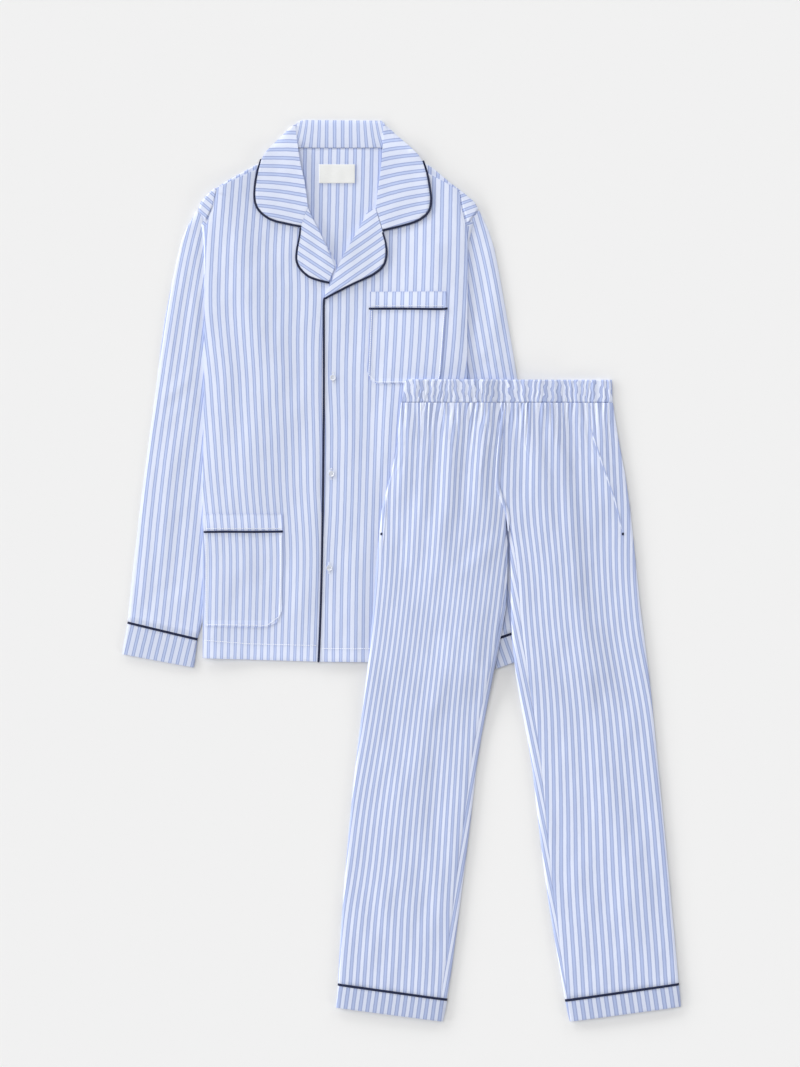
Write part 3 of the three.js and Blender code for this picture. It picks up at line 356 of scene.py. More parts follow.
def finish_piece(piece, material, slot, *nodes):
    piece.data.materials.append(material)
    select_only(piece)
    bpy.ops.object.shade_smooth_by_angle(angle=math.radians(55))
    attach(piece, "root")
    if nodes:
        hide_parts(*nodes)


def in_jacket(x, y):
    """Places counted from the middle of the jacket's hem."""
    return x - JACKET[0], y - JACKET[1]


def back_stripes(x, y):
    x, y = in_jacket(x, y)
    leans, spacing = {0: 0, 560: -5, 700: -2}, {0: 11.6, 600: 12, 720: 12.5}
    return follow_stripes(x, y, (0, 700), leans, spacing) + 0.31, y / REPEAT


def shoulder_stripes(x, y):
    """The shoulder parts' stripes slant: down to the right on the left one, and up on the right one."""
    x, y = in_jacket(x, y)
    slope = np.where(x < 0, 0.85, -0.36)
    size = np.hypot(1, slope)
    return (x * slope + y) / size / 0.0105, (x - y * slope) / size / REPEAT


def over_shoulder(x, y, z):
    """Whether a place is on the part of the back that comes over a shoulder."""
    x, y = in_jacket(x, y)
    return (np.abs(x) > 0.179) & (y > 0.655) & (z > 0.0031)


def press_shoulders(piece):
    """Presses the parts that roll over the shoulders 1 mm down, where they stand above 5.3 mm."""
    points = points_of(piece)
    x, y = in_jacket(points[:, 0], points[:, 1])
    high = np.clip((points[:, 2] - 0.0053) / 0.0012, 0, 1)
    points[:, 2] -= 0.001 * (high * (np.abs(x) > 0.175) * (y > 0.65))
    move_points(piece, points)


back = cloth_from("jacket_back", "back_panel", 3, 6)
press_shoulders(back)
lay_grain(back, [(over_shoulder, shoulder_stripes), (anywhere, back_stripes)])
finish_piece(back, COTTON, "striped_cotton", "jacket_back")


# Jacket fronts
# Two panels of the same cotton, left and right of the opening, joined to the back at the side
# seams. The right one lies over the left. Both are pressed, with low folds from the shoulders.

FRONT_CREASES = [
    (0.8, 17, [(-150, 645), (-150, 560), (-108, 470)]),
    (0.6, 15, [(-66, 570), (-88, 480), (-70, 370)]),
    (0.6, 14, [(-172, 570), (-154, 430), (-174, 290)]),
    (0.6, 18, [(-110, 430), (-136, 330), (-128, 240)]),
    (0.5, 14, [(-24, 450), (-60, 360), (-106, 310)]),
    (0.6, 16, [(-152, 205), (-112, 120), (-134, 20)]),
    (0.7, 14, [(-58, 190), (-46, 90), (-64, 8)]),
    (0.5, 13, [(-30, 330), (-44, 210), (-36, 120)]),
    (0.5, 9, [(-190, 620), (-184, 520), (-186, 400)]),
    (0.8, 17, [(118, 662), (152, 620), (166, 550)]),
    (0.6, 13, [(58, 570), (34, 470), (46, 370)]),
    (0.5, 13, [(22, 480), (34, 350), (20, 230)]),
    (0.6, 13, [(14, 210), (40, 110), (26, 8)]),
    (0.5, 9, [(186, 630), (180, 540), (186, 450)]),
    (0.5, 16, [(96, 420), (72, 330), (66, 210)]),
]


def clear_of_trousers(x, y):
    """1 where the jacket shows and 0 where the trousers press it flat."""
    reach = 0.016  # how far from the trousers the jacket is still held down
    edge = np.interp(y, [-0.05, 0.06, 0.195, 0.265, 0.33, 0.43], [0.045, 0.055, 0.066, 0.076, 0.094, 0.1])
    beside = np.clip((edge - 0.004 - x) / reach, 0, 1)
    above = np.clip((y - 0.428) / reach, 0, 1)
    return np.maximum(beside, above)


def front_rise(x, y):
    """How far the fronts and all that lies on them are raised by their folds."""
    x, y = in_jacket(x, y)
    swell = 0.00032 * waves(x, y, 4, 0.04, 0.13) + 0.00012 * waves(x, y, 5, 0.016, 0.035)
    rise = creases(x, y, FRONT_CREASES) + swell + 0.0002
    hem = np.clip(y / 0.02, 0, 1)
    return np.maximum(rise, -0.0005) * clear_of_trousers(x, y) * (0.4 + 0.6 * hem)


def raise_cloth(piece, rise):
    points = points_of(piece)
    points[:, 2] += rise(points[:, 0], points[:, 1])
    move_points(piece, points)


def left_stripes(x, y):
    x, y = in_jacket(x, y)
    leans = {660: -8, 633: -6, 588: 0, 543: -1, 498: 4, 453: 7, 408: 3, 363: 6, 318: 4, 273: 5, 228: 9,
             183: 5, 138: -2, 93: -3, 40: -3}
    spacing = {650: 11.6, 603: 11.7, 543: 12.2, 483: 11.4, 423: 10.9, 363: 10.7, 303: 10.5, 243: 10.2,
               150: 10.05, 40: 9.95}
    return follow_stripes(x, y, (-110, 300), leans, spacing) + 0.1, y / REPEAT


def right_stripes(x, y):
    x, y = in_jacket(x, y)
    leans = {640: -2, 543: -2, 498: -4, 453: -5, 408: -3, 340: -3, 273: -3, 160: -3, 70: -1}
    spacing = {640: 12.6, 600: 12.6, 470: 12.3, 420: 12, 350: 10.9, 228: 10.6, 150: 11, 30: 11.1}
    return follow_stripes(x, y, (58, 540), leans, spacing) + 0.72, y / REPEAT


def under_hem(x, y):
    """How far inside the turned hem a place on the left front is."""
    x, y = in_jacket(x, y)
    return np.interp(x, [-0.2, -0.13, -0.055, 0.01], [33, 27.5, 25.5, 25]) - y * 1000


def over_hem(x, y):
    """The same for the right front."""
    x, y = in_jacket(x, y)
    return np.interp(x, [-0.03, 0.2], [20.5, 20]) - y * 1000


def front_panel(node, name, stripes, hem):
    front = cloth_from(node, name, 5, 12)
    raise_cloth(front, front_rise)
    lay_grain(front, [(anywhere, stripes)])
    mark_doubled(front, hem)
    soft_rim(front)
    finish_piece(front, COTTON, "striped_cotton", node)
    return front


under = front_panel("jacket_front_under", "front_left", left_stripes, under_hem)
over = front_panel("jacket_front_over", "front_right", right_stripes, over_hem)


# Sleeves
# Each is a flattened tube of the striped cotton, set in under the shoulder seam, with its stripes
# running down beside its outer edge and soft folds where the elbow and the forearm bend.

LEFT_SLEEVE_CREASES = [
    (1.0, 12, [(-216, 645), (-238, 560), (-246, 460)]),
    (0.8, 11, [(-202, 600), (-214, 500), (-226, 400)]),
    (0.8, 8, [(-214, 436), (-242, 396), (-266, 402)]),
    (0.6, 8, [(-216, 396), (-240, 362), (-270, 362)]),
    (0.9, 13, [(-228, 390), (-250, 270), (-264, 150)]),
    (0.8, 11, [(-268, 345), (-284, 230), (-288, 100)]),
    (0.5, 8, [(-208, 250), (-238, 216), (-268, 228)]),
    (0.5, 7, [(-214, 150), (-258, 112), (-292, 126)]),
    (0.5, 7, [(-216, 110), (-250, 84), (-288, 92)]),
]
RIGHT_SLEEVE_CREASES = [
    (1.0, 12, [(222, 645), (242, 570), (246, 470)]),
    (0.8, 10, [(206, 605), (214, 520), (224, 436)]),
    (0.6, 8, [(212, 476), (240, 446), (264, 456)]),
]


def left_sleeve_stripes(x, y):
    x, y = in_jacket(x, y)
    leans = {660: -30, 633: -24, 570: -17, 498: -14, 363: -14, 228: -10, 138: -10, 40: -12}
    spacing = {650: 10.2, 540: 10, 400: 10.6, 240: 11.1, 40: 11}
    return follow_stripes(x, y, (-230, 420), leans, spacing) + 0.45, y / REPEAT


def right_sleeve_stripes(x, y):
    x, y = in_jacket(x, y)
    leans = {660: 30, 633: 26, 570: 18, 498: 17, 420: 17, 300: 15, 138: 13, 60: 15}
    return follow_stripes(x, y, (230, 480), leans, {660: 10.8, 60: 11.2}) + 0.2, y / REPEAT


def raise_upper(piece, rise, base, tall):
    """Raises only the upper face of a flattened tube, most where it stands highest."""
    points = points_of(piece)
    share = np.clip((points[:, 2] - base(points[:, 0], points[:, 1])) / tall, 0, 1)
    points[:, 2] += share**1.5 * rise(points[:, 0], points[:, 1])
    move_points(piece, points)


def on_floor(x, y):
    return np.zeros_like(x)


def sleeve_rise(lines, seed, side):
    """How far a sleeve is raised by its folds, by its head and where it is set into its cuff."""
    seam = points_of(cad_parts[f"cuff_piping_{side}"])
    slope, level = np.polyfit(seam[:, 0], seam[:, 1], 1)

    def rise(x, y):
        above = (y - slope * x - level) / math.hypot(1, slope)
        at_cuff = 0.0026 * np.exp(-((np.maximum(above, 0) / 0.009) ** 2))
        x, y = in_jacket(x, y)
        swell = 0.0004 * waves(x, y, seed, 0.03, 0.09) + 0.00012 * waves(x, y, seed + 1, 0.012, 0.03)
        free = np.clip((np.abs(x) - 0.196) / 0.012, 0, 1)
        shown = np.maximum(creases(x, y, lines) + swell, -0.0006) * free * clear_of_trousers(x, y)
        head = 0.0022 * np.exp(-(np.maximum(0.668 - y, 0) / 0.02) ** 2)
        return shown + head * np.clip((np.abs(x) - 0.192) / 0.008, 0, 1) + at_cuff
    return rise


for side, lines, stripes, area, shift in (
    ("left", LEFT_SLEEVE_CREASES, left_sleeve_stripes, 0.131, 11),
    ("right", RIGHT_SLEEVE_CREASES, right_sleeve_stripes, 0.1375, 21),
):
    sleeve = cloth_from(f"sleeve_{side}", f"sleeve_{side}_cloth", 5, 8)
    raise_upper(sleeve, sleeve_rise(lines, shift, side), on_floor, 0.0034)
    lay_grain(sleeve, [(anywhere, stripes)])
    finish_piece(sleeve, COTTON, "striped_cotton", f"sleeve_{side}")


# Cuffs
# A turned-up band of the same cotton at each wrist, its stripes square to its edge, with a line of
# navy piping caught in the seam above it. Two layers of cloth make it stand a little higher.

def slanted(slope, shift, spacing=0.0112):
    """Straight stripes that lean by slope, sideways for each unit towards the hem."""
    size = math.hypot(1, slope)

    def stripes(x, y):
        x, y = in_jacket(x, y)
        return (x + y * slope) / size / spacing + shift, (y - x * slope) / size / REPEAT
    return stripes


def navy_cotton():
    """Plain navy cotton cut on the bias and folded round a cord."""
    material, shader = start_finish("navy_cotton", {
        "Roughness": 0.72, "Specular IOR Level": 0.35, "Sheen Weight": 0.3, "Sheen Roughness": 0.35})
    place = add_node(material, "TexCoord", {}).outputs["Object"]
    bias = add_node(material, "Mapping", {"Vector": place, "Rotation": (0, 0, math.radians(45))}).outputs[0]
    twill = add_node(material, "TexWave", {"Vector": bias, "Scale": 420, "Distortion": 1.5, "Detail": 2})
    fuzz = add_node(material, "TexNoise", {"Vector": place, "Scale": 260, "Detail": 4})
    both = {0: twill.outputs["Fac"], 1: fuzz.outputs["Fac"]}
    mixed = add_node(material, "Math", both, operation="MULTIPLY").outputs[0]
    tones = colour_by(material, mixed, [(0, rgb(17, 25, 56)), (1, rgb(29, 40, 82))])
    return end_finish(material, shader, tones, mixed, 0.25)


NAVY = navy_cotton()
# painted shade: the cuffs' cotton is a little darker than the sleeves', standing in for less light reaching
# the lower part of the set
CUFF_COTTON_PAINTED_SHADE = striped_cotton("striped_cotton_cuffs_painted_shade", 0.43,
                             rgb(217, 224, 244), rgb(157, 171, 213), rgb(187, 201, 234))


def band_piece(node, name, stripes, cotton):
    """A turned-up band at the end of a sleeve or a leg."""
    band = cloth_from(node, name, 4, 3)
    lay_grain(band, [(anywhere, stripes)])
    soft_rim(band)
    finish_piece(band, cotton, "striped_cotton", node)


def piped_seam(node, name):
    """The piping round the end of a sleeve or a leg."""
    piping = cloth_from(node, name, 2)
    select_only(piping)
    fuller = piping.modifiers.new("fuller", "DISPLACE")
    fuller.strength = 0.0003
    fuller.mid_level = 0
    bpy.ops.object.modifier_apply(modifier="fuller")
    points = points_of(piping)
    points[:, 2] = np.maximum(points[:, 2], 0)
    move_points(piping, points)
    soft_rim(piping, 0.0006)
    finish_piece(piping, NAVY, "navy_piping", node)


for side, slope, area in (("left", -0.24, 0.00836), ("right", 0.35, 0.00787)):
    band_piece(f"cuff_{side}", f"cuff_{side}_band", slanted(slope, 0.1), CUFF_COTTON_PAINTED_SHADE)
    piped_seam(f"cuff_piping_{side}", f"cuff_{side}_piping")


# Collar and lapels
# The collar's two leaves lie on the shoulders, cut across the cloth so that their stripes run
# level, and join the stand behind the neck. The lapels are the fronts' facings, turned back.

def level_stripes(rises, spacing, start, shift):
    """Stripes from left to right: rises gives how far they go up for each 100, by distance to the right."""
    leans = {-place: rise for place, rise in rises.items()}
    gaps = {-place: gap for place, gap in spacing.items()}

    def stripes(x, y):
        x, y = in_jacket(x, y)
        return follow_stripes(y, -x, (start[1], -start[0]), leans, gaps) + shift, x / REPEAT
    return stripes


def stand_stripes(x, y):
    x, y = in_jacket(x, y)
    fan = 1 + 0.25 * np.clip((y - 0.77) / 0.04, -0.5, 1) * (np.abs(x - 0.005) / 0.065) ** 2
    return (x - 0.005) * fan / 0.0121 + 0.08, y / REPEAT


def left_leaf(x, y, z):
    """Whether a place lies left of the line where the collar turns over its stand."""
    x, y = in_jacket(x, y)
    roll = np.interp(y, [0.68, 0.7125, 0.741, 0.777, 0.806], [-0.042, -0.0458, -0.0518, -0.0575, -0.0605])
    return (x < roll + 0.001) & (z > 0.001)


def right_leaf(x, y, z):
    """Whether it lies right of that line on the other side."""
    x, y = in_jacket(x, y)
    roll = np.interp(y, [0.681, 0.708, 0.741, 0.7755, 0.806], [0.06, 0.063, 0.0675, 0.0702, 0.0705])
    return (x > roll - 0.001) & (z > 0.001)


def collar_rise(x, y):
    """The leaves lie on the fronts' folds, and the stand behind the neck doesn't."""
    return front_rise(x, y) * np.clip((0.79 - (y - JACKET[1])) / 0.05, 0, 1)


collar = cloth_from("collar", "collar_cloth", 3, 3)
raise_cloth(collar, collar_rise)
left_rises, left_gaps = {-120: 1, -95: -2, -70: -8, -45: -18}, {-120: 11.6, -45: 13.6}
right_rises, right_gaps = {60: 34, 80: 26, 105: 17, 140: 8}, {60: 13.8, 140: 11.8}
lay_grain(collar, [
    (left_leaf, level_stripes(left_rises, left_gaps, (-80, 740), 0.3)),
    (right_leaf, level_stripes(right_rises, right_gaps, (100, 720), 0.55)),
    (anywhere, stand_stripes),
])
soft_rim(collar, 0.0006)
finish_piece(collar, COTTON, "striped_cotton", "collar")


def close_seam(piece, seam, turn):
    """Draws the lapel's edge 0.6 mm under the collar, along the seam between them."""
    start, end = (np.array(point) / 1000 + JACKET for point in seam)
    run = (end - start) / np.hypot(*(end - start))
    away = np.array([-run[1], run[0]]) * turn
    points = points_of(piece)
    far = np.abs((points[:, :2] - start) @ away)
    points[:, :2] += 0.0006 * np.exp(-((far / 0.002) ** 2))[:, None] * away
    move_points(piece, points)


for side, slope, seam, turn, flat, area in (
    ("left", -0.66, ((-52.6, 651.6), (-41.6, 681.6)), 1, (0.06, 0.12), 0.00356),
    ("right", 0.7, ((69.6, 644.4), (59, 679)), -1, (0.06, 0.15), 0.00536),
):
    lapel = cloth_from(f"lapel_{side}", f"lapel_{side}_facing", 3, 5)
    raise_cloth(lapel, front_rise)
    close_seam(lapel, seam, turn)
    angle = math.atan(slope)

    def facing_stripes(x, y, angle=angle):
        x, y = in_jacket(x, y)
        across = y * math.cos(angle) - x * math.sin(angle)
        return across / (REPEAT * 0.92) + 0.4, (x * math.cos(angle) + y * math.sin(angle)) / REPEAT

    lay_grain(lapel, [(anywhere, facing_stripes)])
    soft_rim(lapel, 0.0006)
    finish_piece(lapel, COTTON, "striped_cotton", f"lapel_{side}")


# Navy piping
# A cord of about 3 mm in a bias strip of navy cotton, sewn into the edges of the collar, the
# lapels and the right front, and between each pocket and its hem band.

def top_of(pieces, x, y):
    """The height of the highest of these pieces at a place."""
    best = 0.0
    for piece in pieces:
        hit, place, _, _ = piece.ray_cast(Vector((x, y, 0.1)), Vector((0, 0, -1)))
        if hit:
            best = max(best, place.z)
    return best


def smooth_line(places, step=2.5, zero=JACKET):
    """A smooth line through places in millimetres from zero, as evenly spaced points in metres."""
    ends = [2 * np.array(places[0], float) - places[1], 2 * np.array(places[-1], float) - places[-2]]
    marks = np.array([ends[0], *places, ends[1]], float)
    line = []
    for a, b, c, d in zip(marks, marks[1:], marks[2:], marks[3:]):
        bend, twist = 2 * a - 5 * b + 4 * c - d, 3 * b - a - 3 * c + d
        line += [(2 * b + (c - a) * t + bend * t**2 + twist * t**3) / 2 for t in np.arange(0, 1, 0.05)]
    line = np.array([*line, marks[-2]])
    along = np.concatenate([[0], np.cumsum(np.hypot(*np.diff(line, axis=0).T))])
    at = np.linspace(0, along[-1], max(3, round(along[-1] / step)))
    return np.stack([np.interp(at, along, line[:, k]) for k in range(2)], axis=1) / 1000 + zero


def skin(rings, sides, first=0):
    """The faces of a closed tube whose corners come ring by ring, from the corner numbered first."""
    faces = []
    for start in range(first, first + (rings - 1) * sides, sides):
        for k in range(sides):
            a, b = start + k, start + (k + 1) % sides
            faces.append((a, b, b + sides, a + sides))
    last = first + (rings - 1) * sides
    return [*faces, tuple(reversed(range(first, first + sides))), tuple(range(last, last + sides))]


def closed_piece(name, corners, faces):
    """A piece made of these corners and faces, which are turned outwards."""
    mesh = bpy.data.meshes.new(name)
    mesh.from_pydata(corners, [], faces)
    piece = bpy.data.objects.new(name, mesh)
    bpy.context.scene.collection.objects.link(piece)
    select_only(piece)
    bpy.ops.object.mode_set(mode="EDIT")
    bpy.ops.mesh.select_all(action="SELECT")
    bpy.ops.mesh.normals_make_consistent(inside=False)
    bpy.ops.object.mode_set(mode="OBJECT")
    return piece


def lay_cord(name, places, radius, lift, pieces, *nodes):
    """A round cord that lies on these pieces along a line of places, with rounded ends."""
    flat = smooth_line(places)
    height = np.array([top_of(pieces, x, y) for x, y in flat]) + lift
    height = np.convolve(np.pad(height, 2, mode="edge"), np.ones(5) / 5, mode="valid")
    path = np.column_stack([flat, height])
    ahead = np.gradient(path, axis=0)
    ahead /= np.linalg.norm(ahead, axis=1)[:, None]
    aside = np.column_stack([ahead[:, 1], -ahead[:, 0], np.zeros(len(path))])
    aside /= np.linalg.norm(aside, axis=1)[:, None]
    above = np.cross(aside, ahead)
    rounded = ((0.5, 0.8), (0.8, 0.45))  # how far past the end, and how wide there
    rings = [(path[0] - ahead[0] * radius * past, aside[0], above[0], size)
             for past, size in reversed(rounded)]
    rings += [(path[i], aside[i], above[i], 1) for i in range(len(path))]
    rings += [(path[-1] + ahead[-1] * radius * past, aside[-1], above[-1], size) for past, size in rounded]
    corners, sides = [], 12
    for middle, right, up, size in rings:
        for k in range(sides):
            turn = 2 * math.pi * k / sides
            corners.append(tuple(middle + radius * size * (right * math.cos(turn) + up * math.sin(turn))))
    cord = closed_piece(name, corners, skin(len(rings), sides))
    finish_piece(cord, NAVY, "navy_piping", *nodes)


EDGE_CORD = 0.0016  # the cord's radius in the edges of the collar, the lapels and the front
lay_cord("collar_left_piping", [
    (-112.6, 753), (-117.8, 735), (-121.8, 711), (-121.5, 690), (-114, 675), (-97.5, 663), (-75, 657),
    (-52.5, 652.5)], EDGE_CORD, 0.0018, [under], "collar_piping_left")
lay_cord("collar_right_piping", [
    (131, 750.6), (136.5, 733.5), (141, 708), (142.5, 690), (138, 673.5), (121.5, 660.8), (94.5, 652.5),
    (70.4, 646.8)], EDGE_CORD, 0.0018, [over], "collar_piping_right")
lay_cord("lapel_left_piping", [
    (-53, 649.6), (-54.8, 636), (-58.5, 618), (-59.2, 601.5), (-53.2, 588.8), (-40.5, 577.5), (-24, 571.5),
    (-11, 568.5)], EDGE_CORD, 0.0017, [under], "lapel_piping_left")
lay_cord("front_piping", [
    (70, 643), (74.2, 628.5), (75.8, 611.2), (71.2, 594), (55.5, 580.5), (30, 568.5), (6, 556.5),
    (-7.5, 549.6), (-15.2, 545), (-18.3, 538), (-18.4, 480), (-18.4, 393), (-19.4, 273), (-21.2, 153),
    (-23.6, 63), (-26.2, 1)], EDGE_CORD, 0.0016, [under, over], "lapel_piping_right", "front_edge_piping")


# Pockets
# A patch pocket on the chest and one at the side, each with a doubled hem band above its piping
# and a line of stitches close to its other edges. Their stripes lie a little aside of the fronts'.

def turned_edge(x, y):
    """The pockets' hems are doubled all over, and their bags just inside their seams."""
    x, y = in_jacket(x, y)
    chest_side = np.where(y > 0.42, np.minimum(np.minimum(x - 0.0535, 0.1575 - x), y - 0.426), -1)
    low_side = np.where(y < 0.3, np.minimum(-0.088 - x, y - 0.0615), -1)
    inside = np.maximum(chest_side, low_side)
    hem = (y > 0.5295) | ((y > 0.1955) & (y < 0.3))
    return np.where(hem | (inside < 0), 1.0, 0.0)


def front_patch(node, name, stripes, shift):
    """A piece sewn on a front, pressed flatter on it than its solid, its stripes shifted aside."""
    patch = cloth_from(node, name, 4, 5)
    raise_cloth(patch, front_rise)
    facing = np.empty(len(patch.data.vertices) * 3)
    patch.data.vertices.foreach_get("normal", facing)
    points = points_of(patch)
    points[:, 2] -= 0.0007 + 0.0006 * (facing.reshape(-1, 3)[:, 2] > 0)
    move_points(patch, points)

    def shifted(x, y):
        across, along = stripes(x, y)
        return across + shift, along

    lay_grain(patch, [(anywhere, shifted)])
    mark_doubled(patch, turned_edge)
    soft_rim(patch, 0.00025)
    finish_piece(patch, COTTON, "striped_cotton", node)
    return patch


chest = front_patch(
    "chest_pocket", "chest_pocket_bag", right_stripes, 0.15)
chest_band = front_patch(
    "chest_pocket_band", "chest_pocket_hem", right_stripes, 0.45)
side_bag = front_patch(
    "side_pocket", "side_pocket_bag", left_stripes, 0.3)
side_band = front_patch(
    "side_pocket_band", "side_pocket_hem", left_stripes, 0.55)
lay_cord("chest_piping", [(50.5, 529.5), (90, 529.6), (130, 528.9), (158, 528.7), (166, 529.6)],
         0.0017, 0.0015, [over], "chest_pocket_piping")
lay_cord("side_piping", [(-196.5, 195), (-168, 195.6), (-125, 195.2), (-80.5, 195.8)],
         0.0017, 0.0015, [under], "side_pocket_piping")


# Trousers' legs
# Each leg is a flattened tube of a front and a back panel. The gathers under the waistband run
# out into long soft folds, and the back panel comes a little way round the inner fold to the seam.

TROUSERS = JACKET + np.array([0.258, 0.423])  # the middle of the waistband's top edge
LEG_TALL = 0.006  # how far a leg's top stands above its underside
WAIST_WIDE, GATHERS = 0.32, 34
LEG_CREASES = [
    (1.2, 11, [(-150, -40), (-150, -95), (-164, -190)]),
    (0.9, 10, [(-118, -38), (-122, -120), (-134, -230), (-154, -330)]),
    (1.3, 12, [(-84, -38), (-84, -110), (-98, -220), (-110, -330)]),
    (-0.9, 9, [(-58, -40), (-64, -110), (-78, -240)]),
    (1.1, 10, [(-34, -42), (-38, -120), (-54, -230)]),
    (1.1, 10, [(28, -38), (34, -110), (48, -210)]),
    (-1.0, 9, [(50, -36), (64, -112), (84, -240)]),
    (1.3, 12, [(74, -38), (84, -130), (104, -250), (114, -370)]),
    (0.9, 11, [(104, -40), (116, -120), (134, -230)]),
    (1.2, 12, [(134, -40), (140, -110), (154, -200)]),
    (0.8, 20, [(-70, -300), (-96, -420), (-130, -560), (-150, -710)]),
    (-0.8, 12, [(-97, -500), (-110, -560), (-120, -640)]),
    (0.8, 18, [(-152, -520), (-176, -700), (-208, -890)]),
    (0.7, 15, [(-62, -560), (-88, -720), (-124, -890)]),
    (-0.9, 14, [(40, -510), (84, -640), (76, -780)]),
    (0.8, 20, [(98, -330), (130, -480), (150, -650)]),
    (0.8, 18, [(160, -600), (180, -740), (210, -890)]),
    (0.7, 14, [(90, -700), (112, -800), (132, -895)]),
    (0.5, 12, [(-206, -460), (-150, -508), (-96, -488)]),
    (0.5, 12, [(78, -560), (130, -596), (196, -566)]),
    (0.9, 9, [(-2, -236), (-36, -254), (-96, -312)]),
    (0.9, 9, [(4, -240), (40, -262), (94, -318)]),
    (0.5, 9, [(-12, -206), (-44, -186), (-82, -150)]),
]


def in_trousers(x, y):
    """Places counted from the middle of the waistband's top edge."""
    return x - TROUSERS[0], y - TROUSERS[1]


def lowest_under(piece, cell=0.012):
    """The height of a tube's underside at any place, read from the piece itself."""
    points = points_of(piece)
    low = points.min(axis=0)
    columns, rows = (np.ceil((points.max(axis=0) - low)[:2] / cell).astype(int) + 1)
    grid = np.full((columns, rows), np.inf)
    i, j = ((points[:, :2] - low[:2]) / cell).astype(int).T
    np.minimum.at(grid, (i, j), points[:, 2])
    for _ in range(40):
        if np.isfinite(grid).all():
            break
        wide = np.pad(grid, 1, constant_values=np.inf)
        near = np.stack([wide[:-2, 1:-1], wide[2:, 1:-1], wide[1:-1, :-2], wide[1:-1, 2:]]).min(axis=0)
        grid = np.where(np.isfinite(grid), grid, near)

    def base(x, y):
        u = np.clip((x - low[0]) / cell - 0.5, 0, columns - 1.001)
        v = np.clip((y - low[1]) / cell - 0.5, 0, rows - 1.001)
        a, b = u.astype(int), v.astype(int)
        s, t = u - a, v - b
        return ((1 - s) * (1 - t) * grid[a, b] + s * (1 - t) * grid[a + 1, b]
                + (1 - s) * t * grid[a, b + 1] + s * t * grid[a + 1, b + 1])
    return base


def gathers_along(x):
    """How many of the waistband's gathers lie to the left of a place."""
    return (x + WAIST_WIDE / 2) / WAIST_WIDE * GATHERS


def gathers(x, y):
    """Small close folds that spring from the waistband and die away down the leg, none like the next."""
    across = gathers_along(x)
    drift = across + 0.25 * np.sin(across * 1.7) + 0.2 * np.sin(across * 0.61 + 2)
    crest = 0.5 + 0.5 * np.cos(2 * math.pi * drift)
    share = np.interp(-y, [0.0345, 0.0485, 0.0685, 0.0965, 0.14], [0.8, 0.9, 0.6, 0.3, 0])
    even = 0.0015 * crest * (0.75 + 0.25 * np.sin(across * 2.3 + 1)) * share
    calm = 0.55 + 0.35 * np.sin(across * 1.13 + 0.4) * np.sin(across * 0.37 + 1)
    uneven = (across * 1.25 + 0.45 * np.sin(across * 1.9) + 0.3 * np.sin(across * 0.83 + 2)
              + y * 14 * np.sin(across * 0.9))
    reach = 0.07 + 0.035 * np.sin(across * 2.9 + 0.5) + 0.02 * np.sin(across * 1.3)
    fade = np.clip(1 - (-y - 0.032) / reach, 0, 1) ** 1.5
    strong = 0.6 + 0.4 * np.sin(across * 1.6 + 1.2)
    return 0.0012 * np.sin(2 * math.pi * uneven) * fade * strong - even * calm


def leg_rise(x, y):
    """How far the upper face of a leg is raised by its folds and gathers."""
    x, y = in_trousers(x, y)
    swell = 0.0004 * waves(x, y, 31, 0.035, 0.11) + 0.00012 * waves(x, y, 32, 0.014, 0.034)
    return np.maximum(creases(x, y, LEG_CREASES) + gathers(x, y) + swell, -0.0016)


def pulled(x, y):
    """How far the gathers pull the stripes aside, in stripe repeats."""
    across = gathers_along(x)
    fade = np.clip(1 - (-y - 0.03) / 0.09, 0, 1) ** 1.3
    broad = 0.2 * np.sin(across * 2.7) + 0.14 * np.sin(across * 1.13 + 60 * y)
    return fade * (broad + 0.1 * np.sin(across * 4.1 + 2))


def left_leg_stripes(x, y):
    x, y = in_trousers(x, y)
    leans = {-45: -9, -165: -4, -285: -9, -345: -11.5, -405: -11.5, -465: -12.5, -525: -10.5, -585: -12,
             -645: -10, -705: -8, -765: -12, -825: -4, -885: -6}
    spacing = {-40: 8.7, -105: 8.2, -195: 8.05, -285: 7.6, -390: 7.5, -510: 8, -630: 8.85, -750: 9.4,
               -870: 10.3}
    return follow_stripes(x, y, (-110, -300), leans, spacing) + pulled(x, y), y / REPEAT


def right_leg_stripes(x, y):
    x, y = in_trousers(x, y)
    leans = {-45: 2, -105: 0, -165: 2.5, -225: 5, -285: 6, -345: 7.5, -405: 15, -465: 14, -525: 7,
             -585: 6.5, -645: 5, -705: 3, -765: 6, -825: 8, -885: 6}
    spacing = {-40: 8.8, -105: 9.2, -195: 9.6, -285: 8.8, -390: 8.9, -510: 9.7, -630: 10.4, -750: 11.2,
               -870: 11.3}
    return follow_stripes(x, y, (110, -300), leans, spacing) + pulled(x, y) + 0.5, y / REPEAT


def rolled(slope, shift):
    """The back panel's stripes, which lean more than the front's beside them."""
    def stripes(x, y):
        x, y = in_trousers(x, y)
        return (x + y * slope) / 0.0088 + shift, y / REPEAT
    return stripes


TROUSER_COTTON = striped_cotton("striped_cotton_trousers", 0.52,
                                GROUND, rgb(164, 177, 218), rgb(183, 197, 234))

def leg_panel(node, name, rounds, stripes, base):
    panel = cloth_from(node, name, 4, rounds)
    raise_upper(panel, leg_rise, base, LEG_TALL)
    lay_grain(panel, [(anywhere, stripes)])
    soft_rim(panel, 0.0003)
    finish_piece(panel, TROUSER_COTTON, "striped_cotton", node)


for side, stripes, slope, front_area, back_area in (
    ("left", left_leg_stripes, -0.18, 0.1445, 0.152),
    ("right", right_leg_stripes, 0.21, 0.15, 0.161),
):
    base = lowest_under(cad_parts[f"leg_back_{side}"])
    leg_panel(f"leg_back_{side}", f"leg_{side}_back", 5, rolled(slope, 0.3), base)
    leg_panel(f"leg_front_{side}", f"leg_{side}_front", 6, stripes, base)


# Waistband and leg bands
# The waistband is a doubled strip of the cotton drawn up on elastic into close uneven gathers. Each
# leg ends in a turned-up band with navy piping above it, its stripes square to its edge.

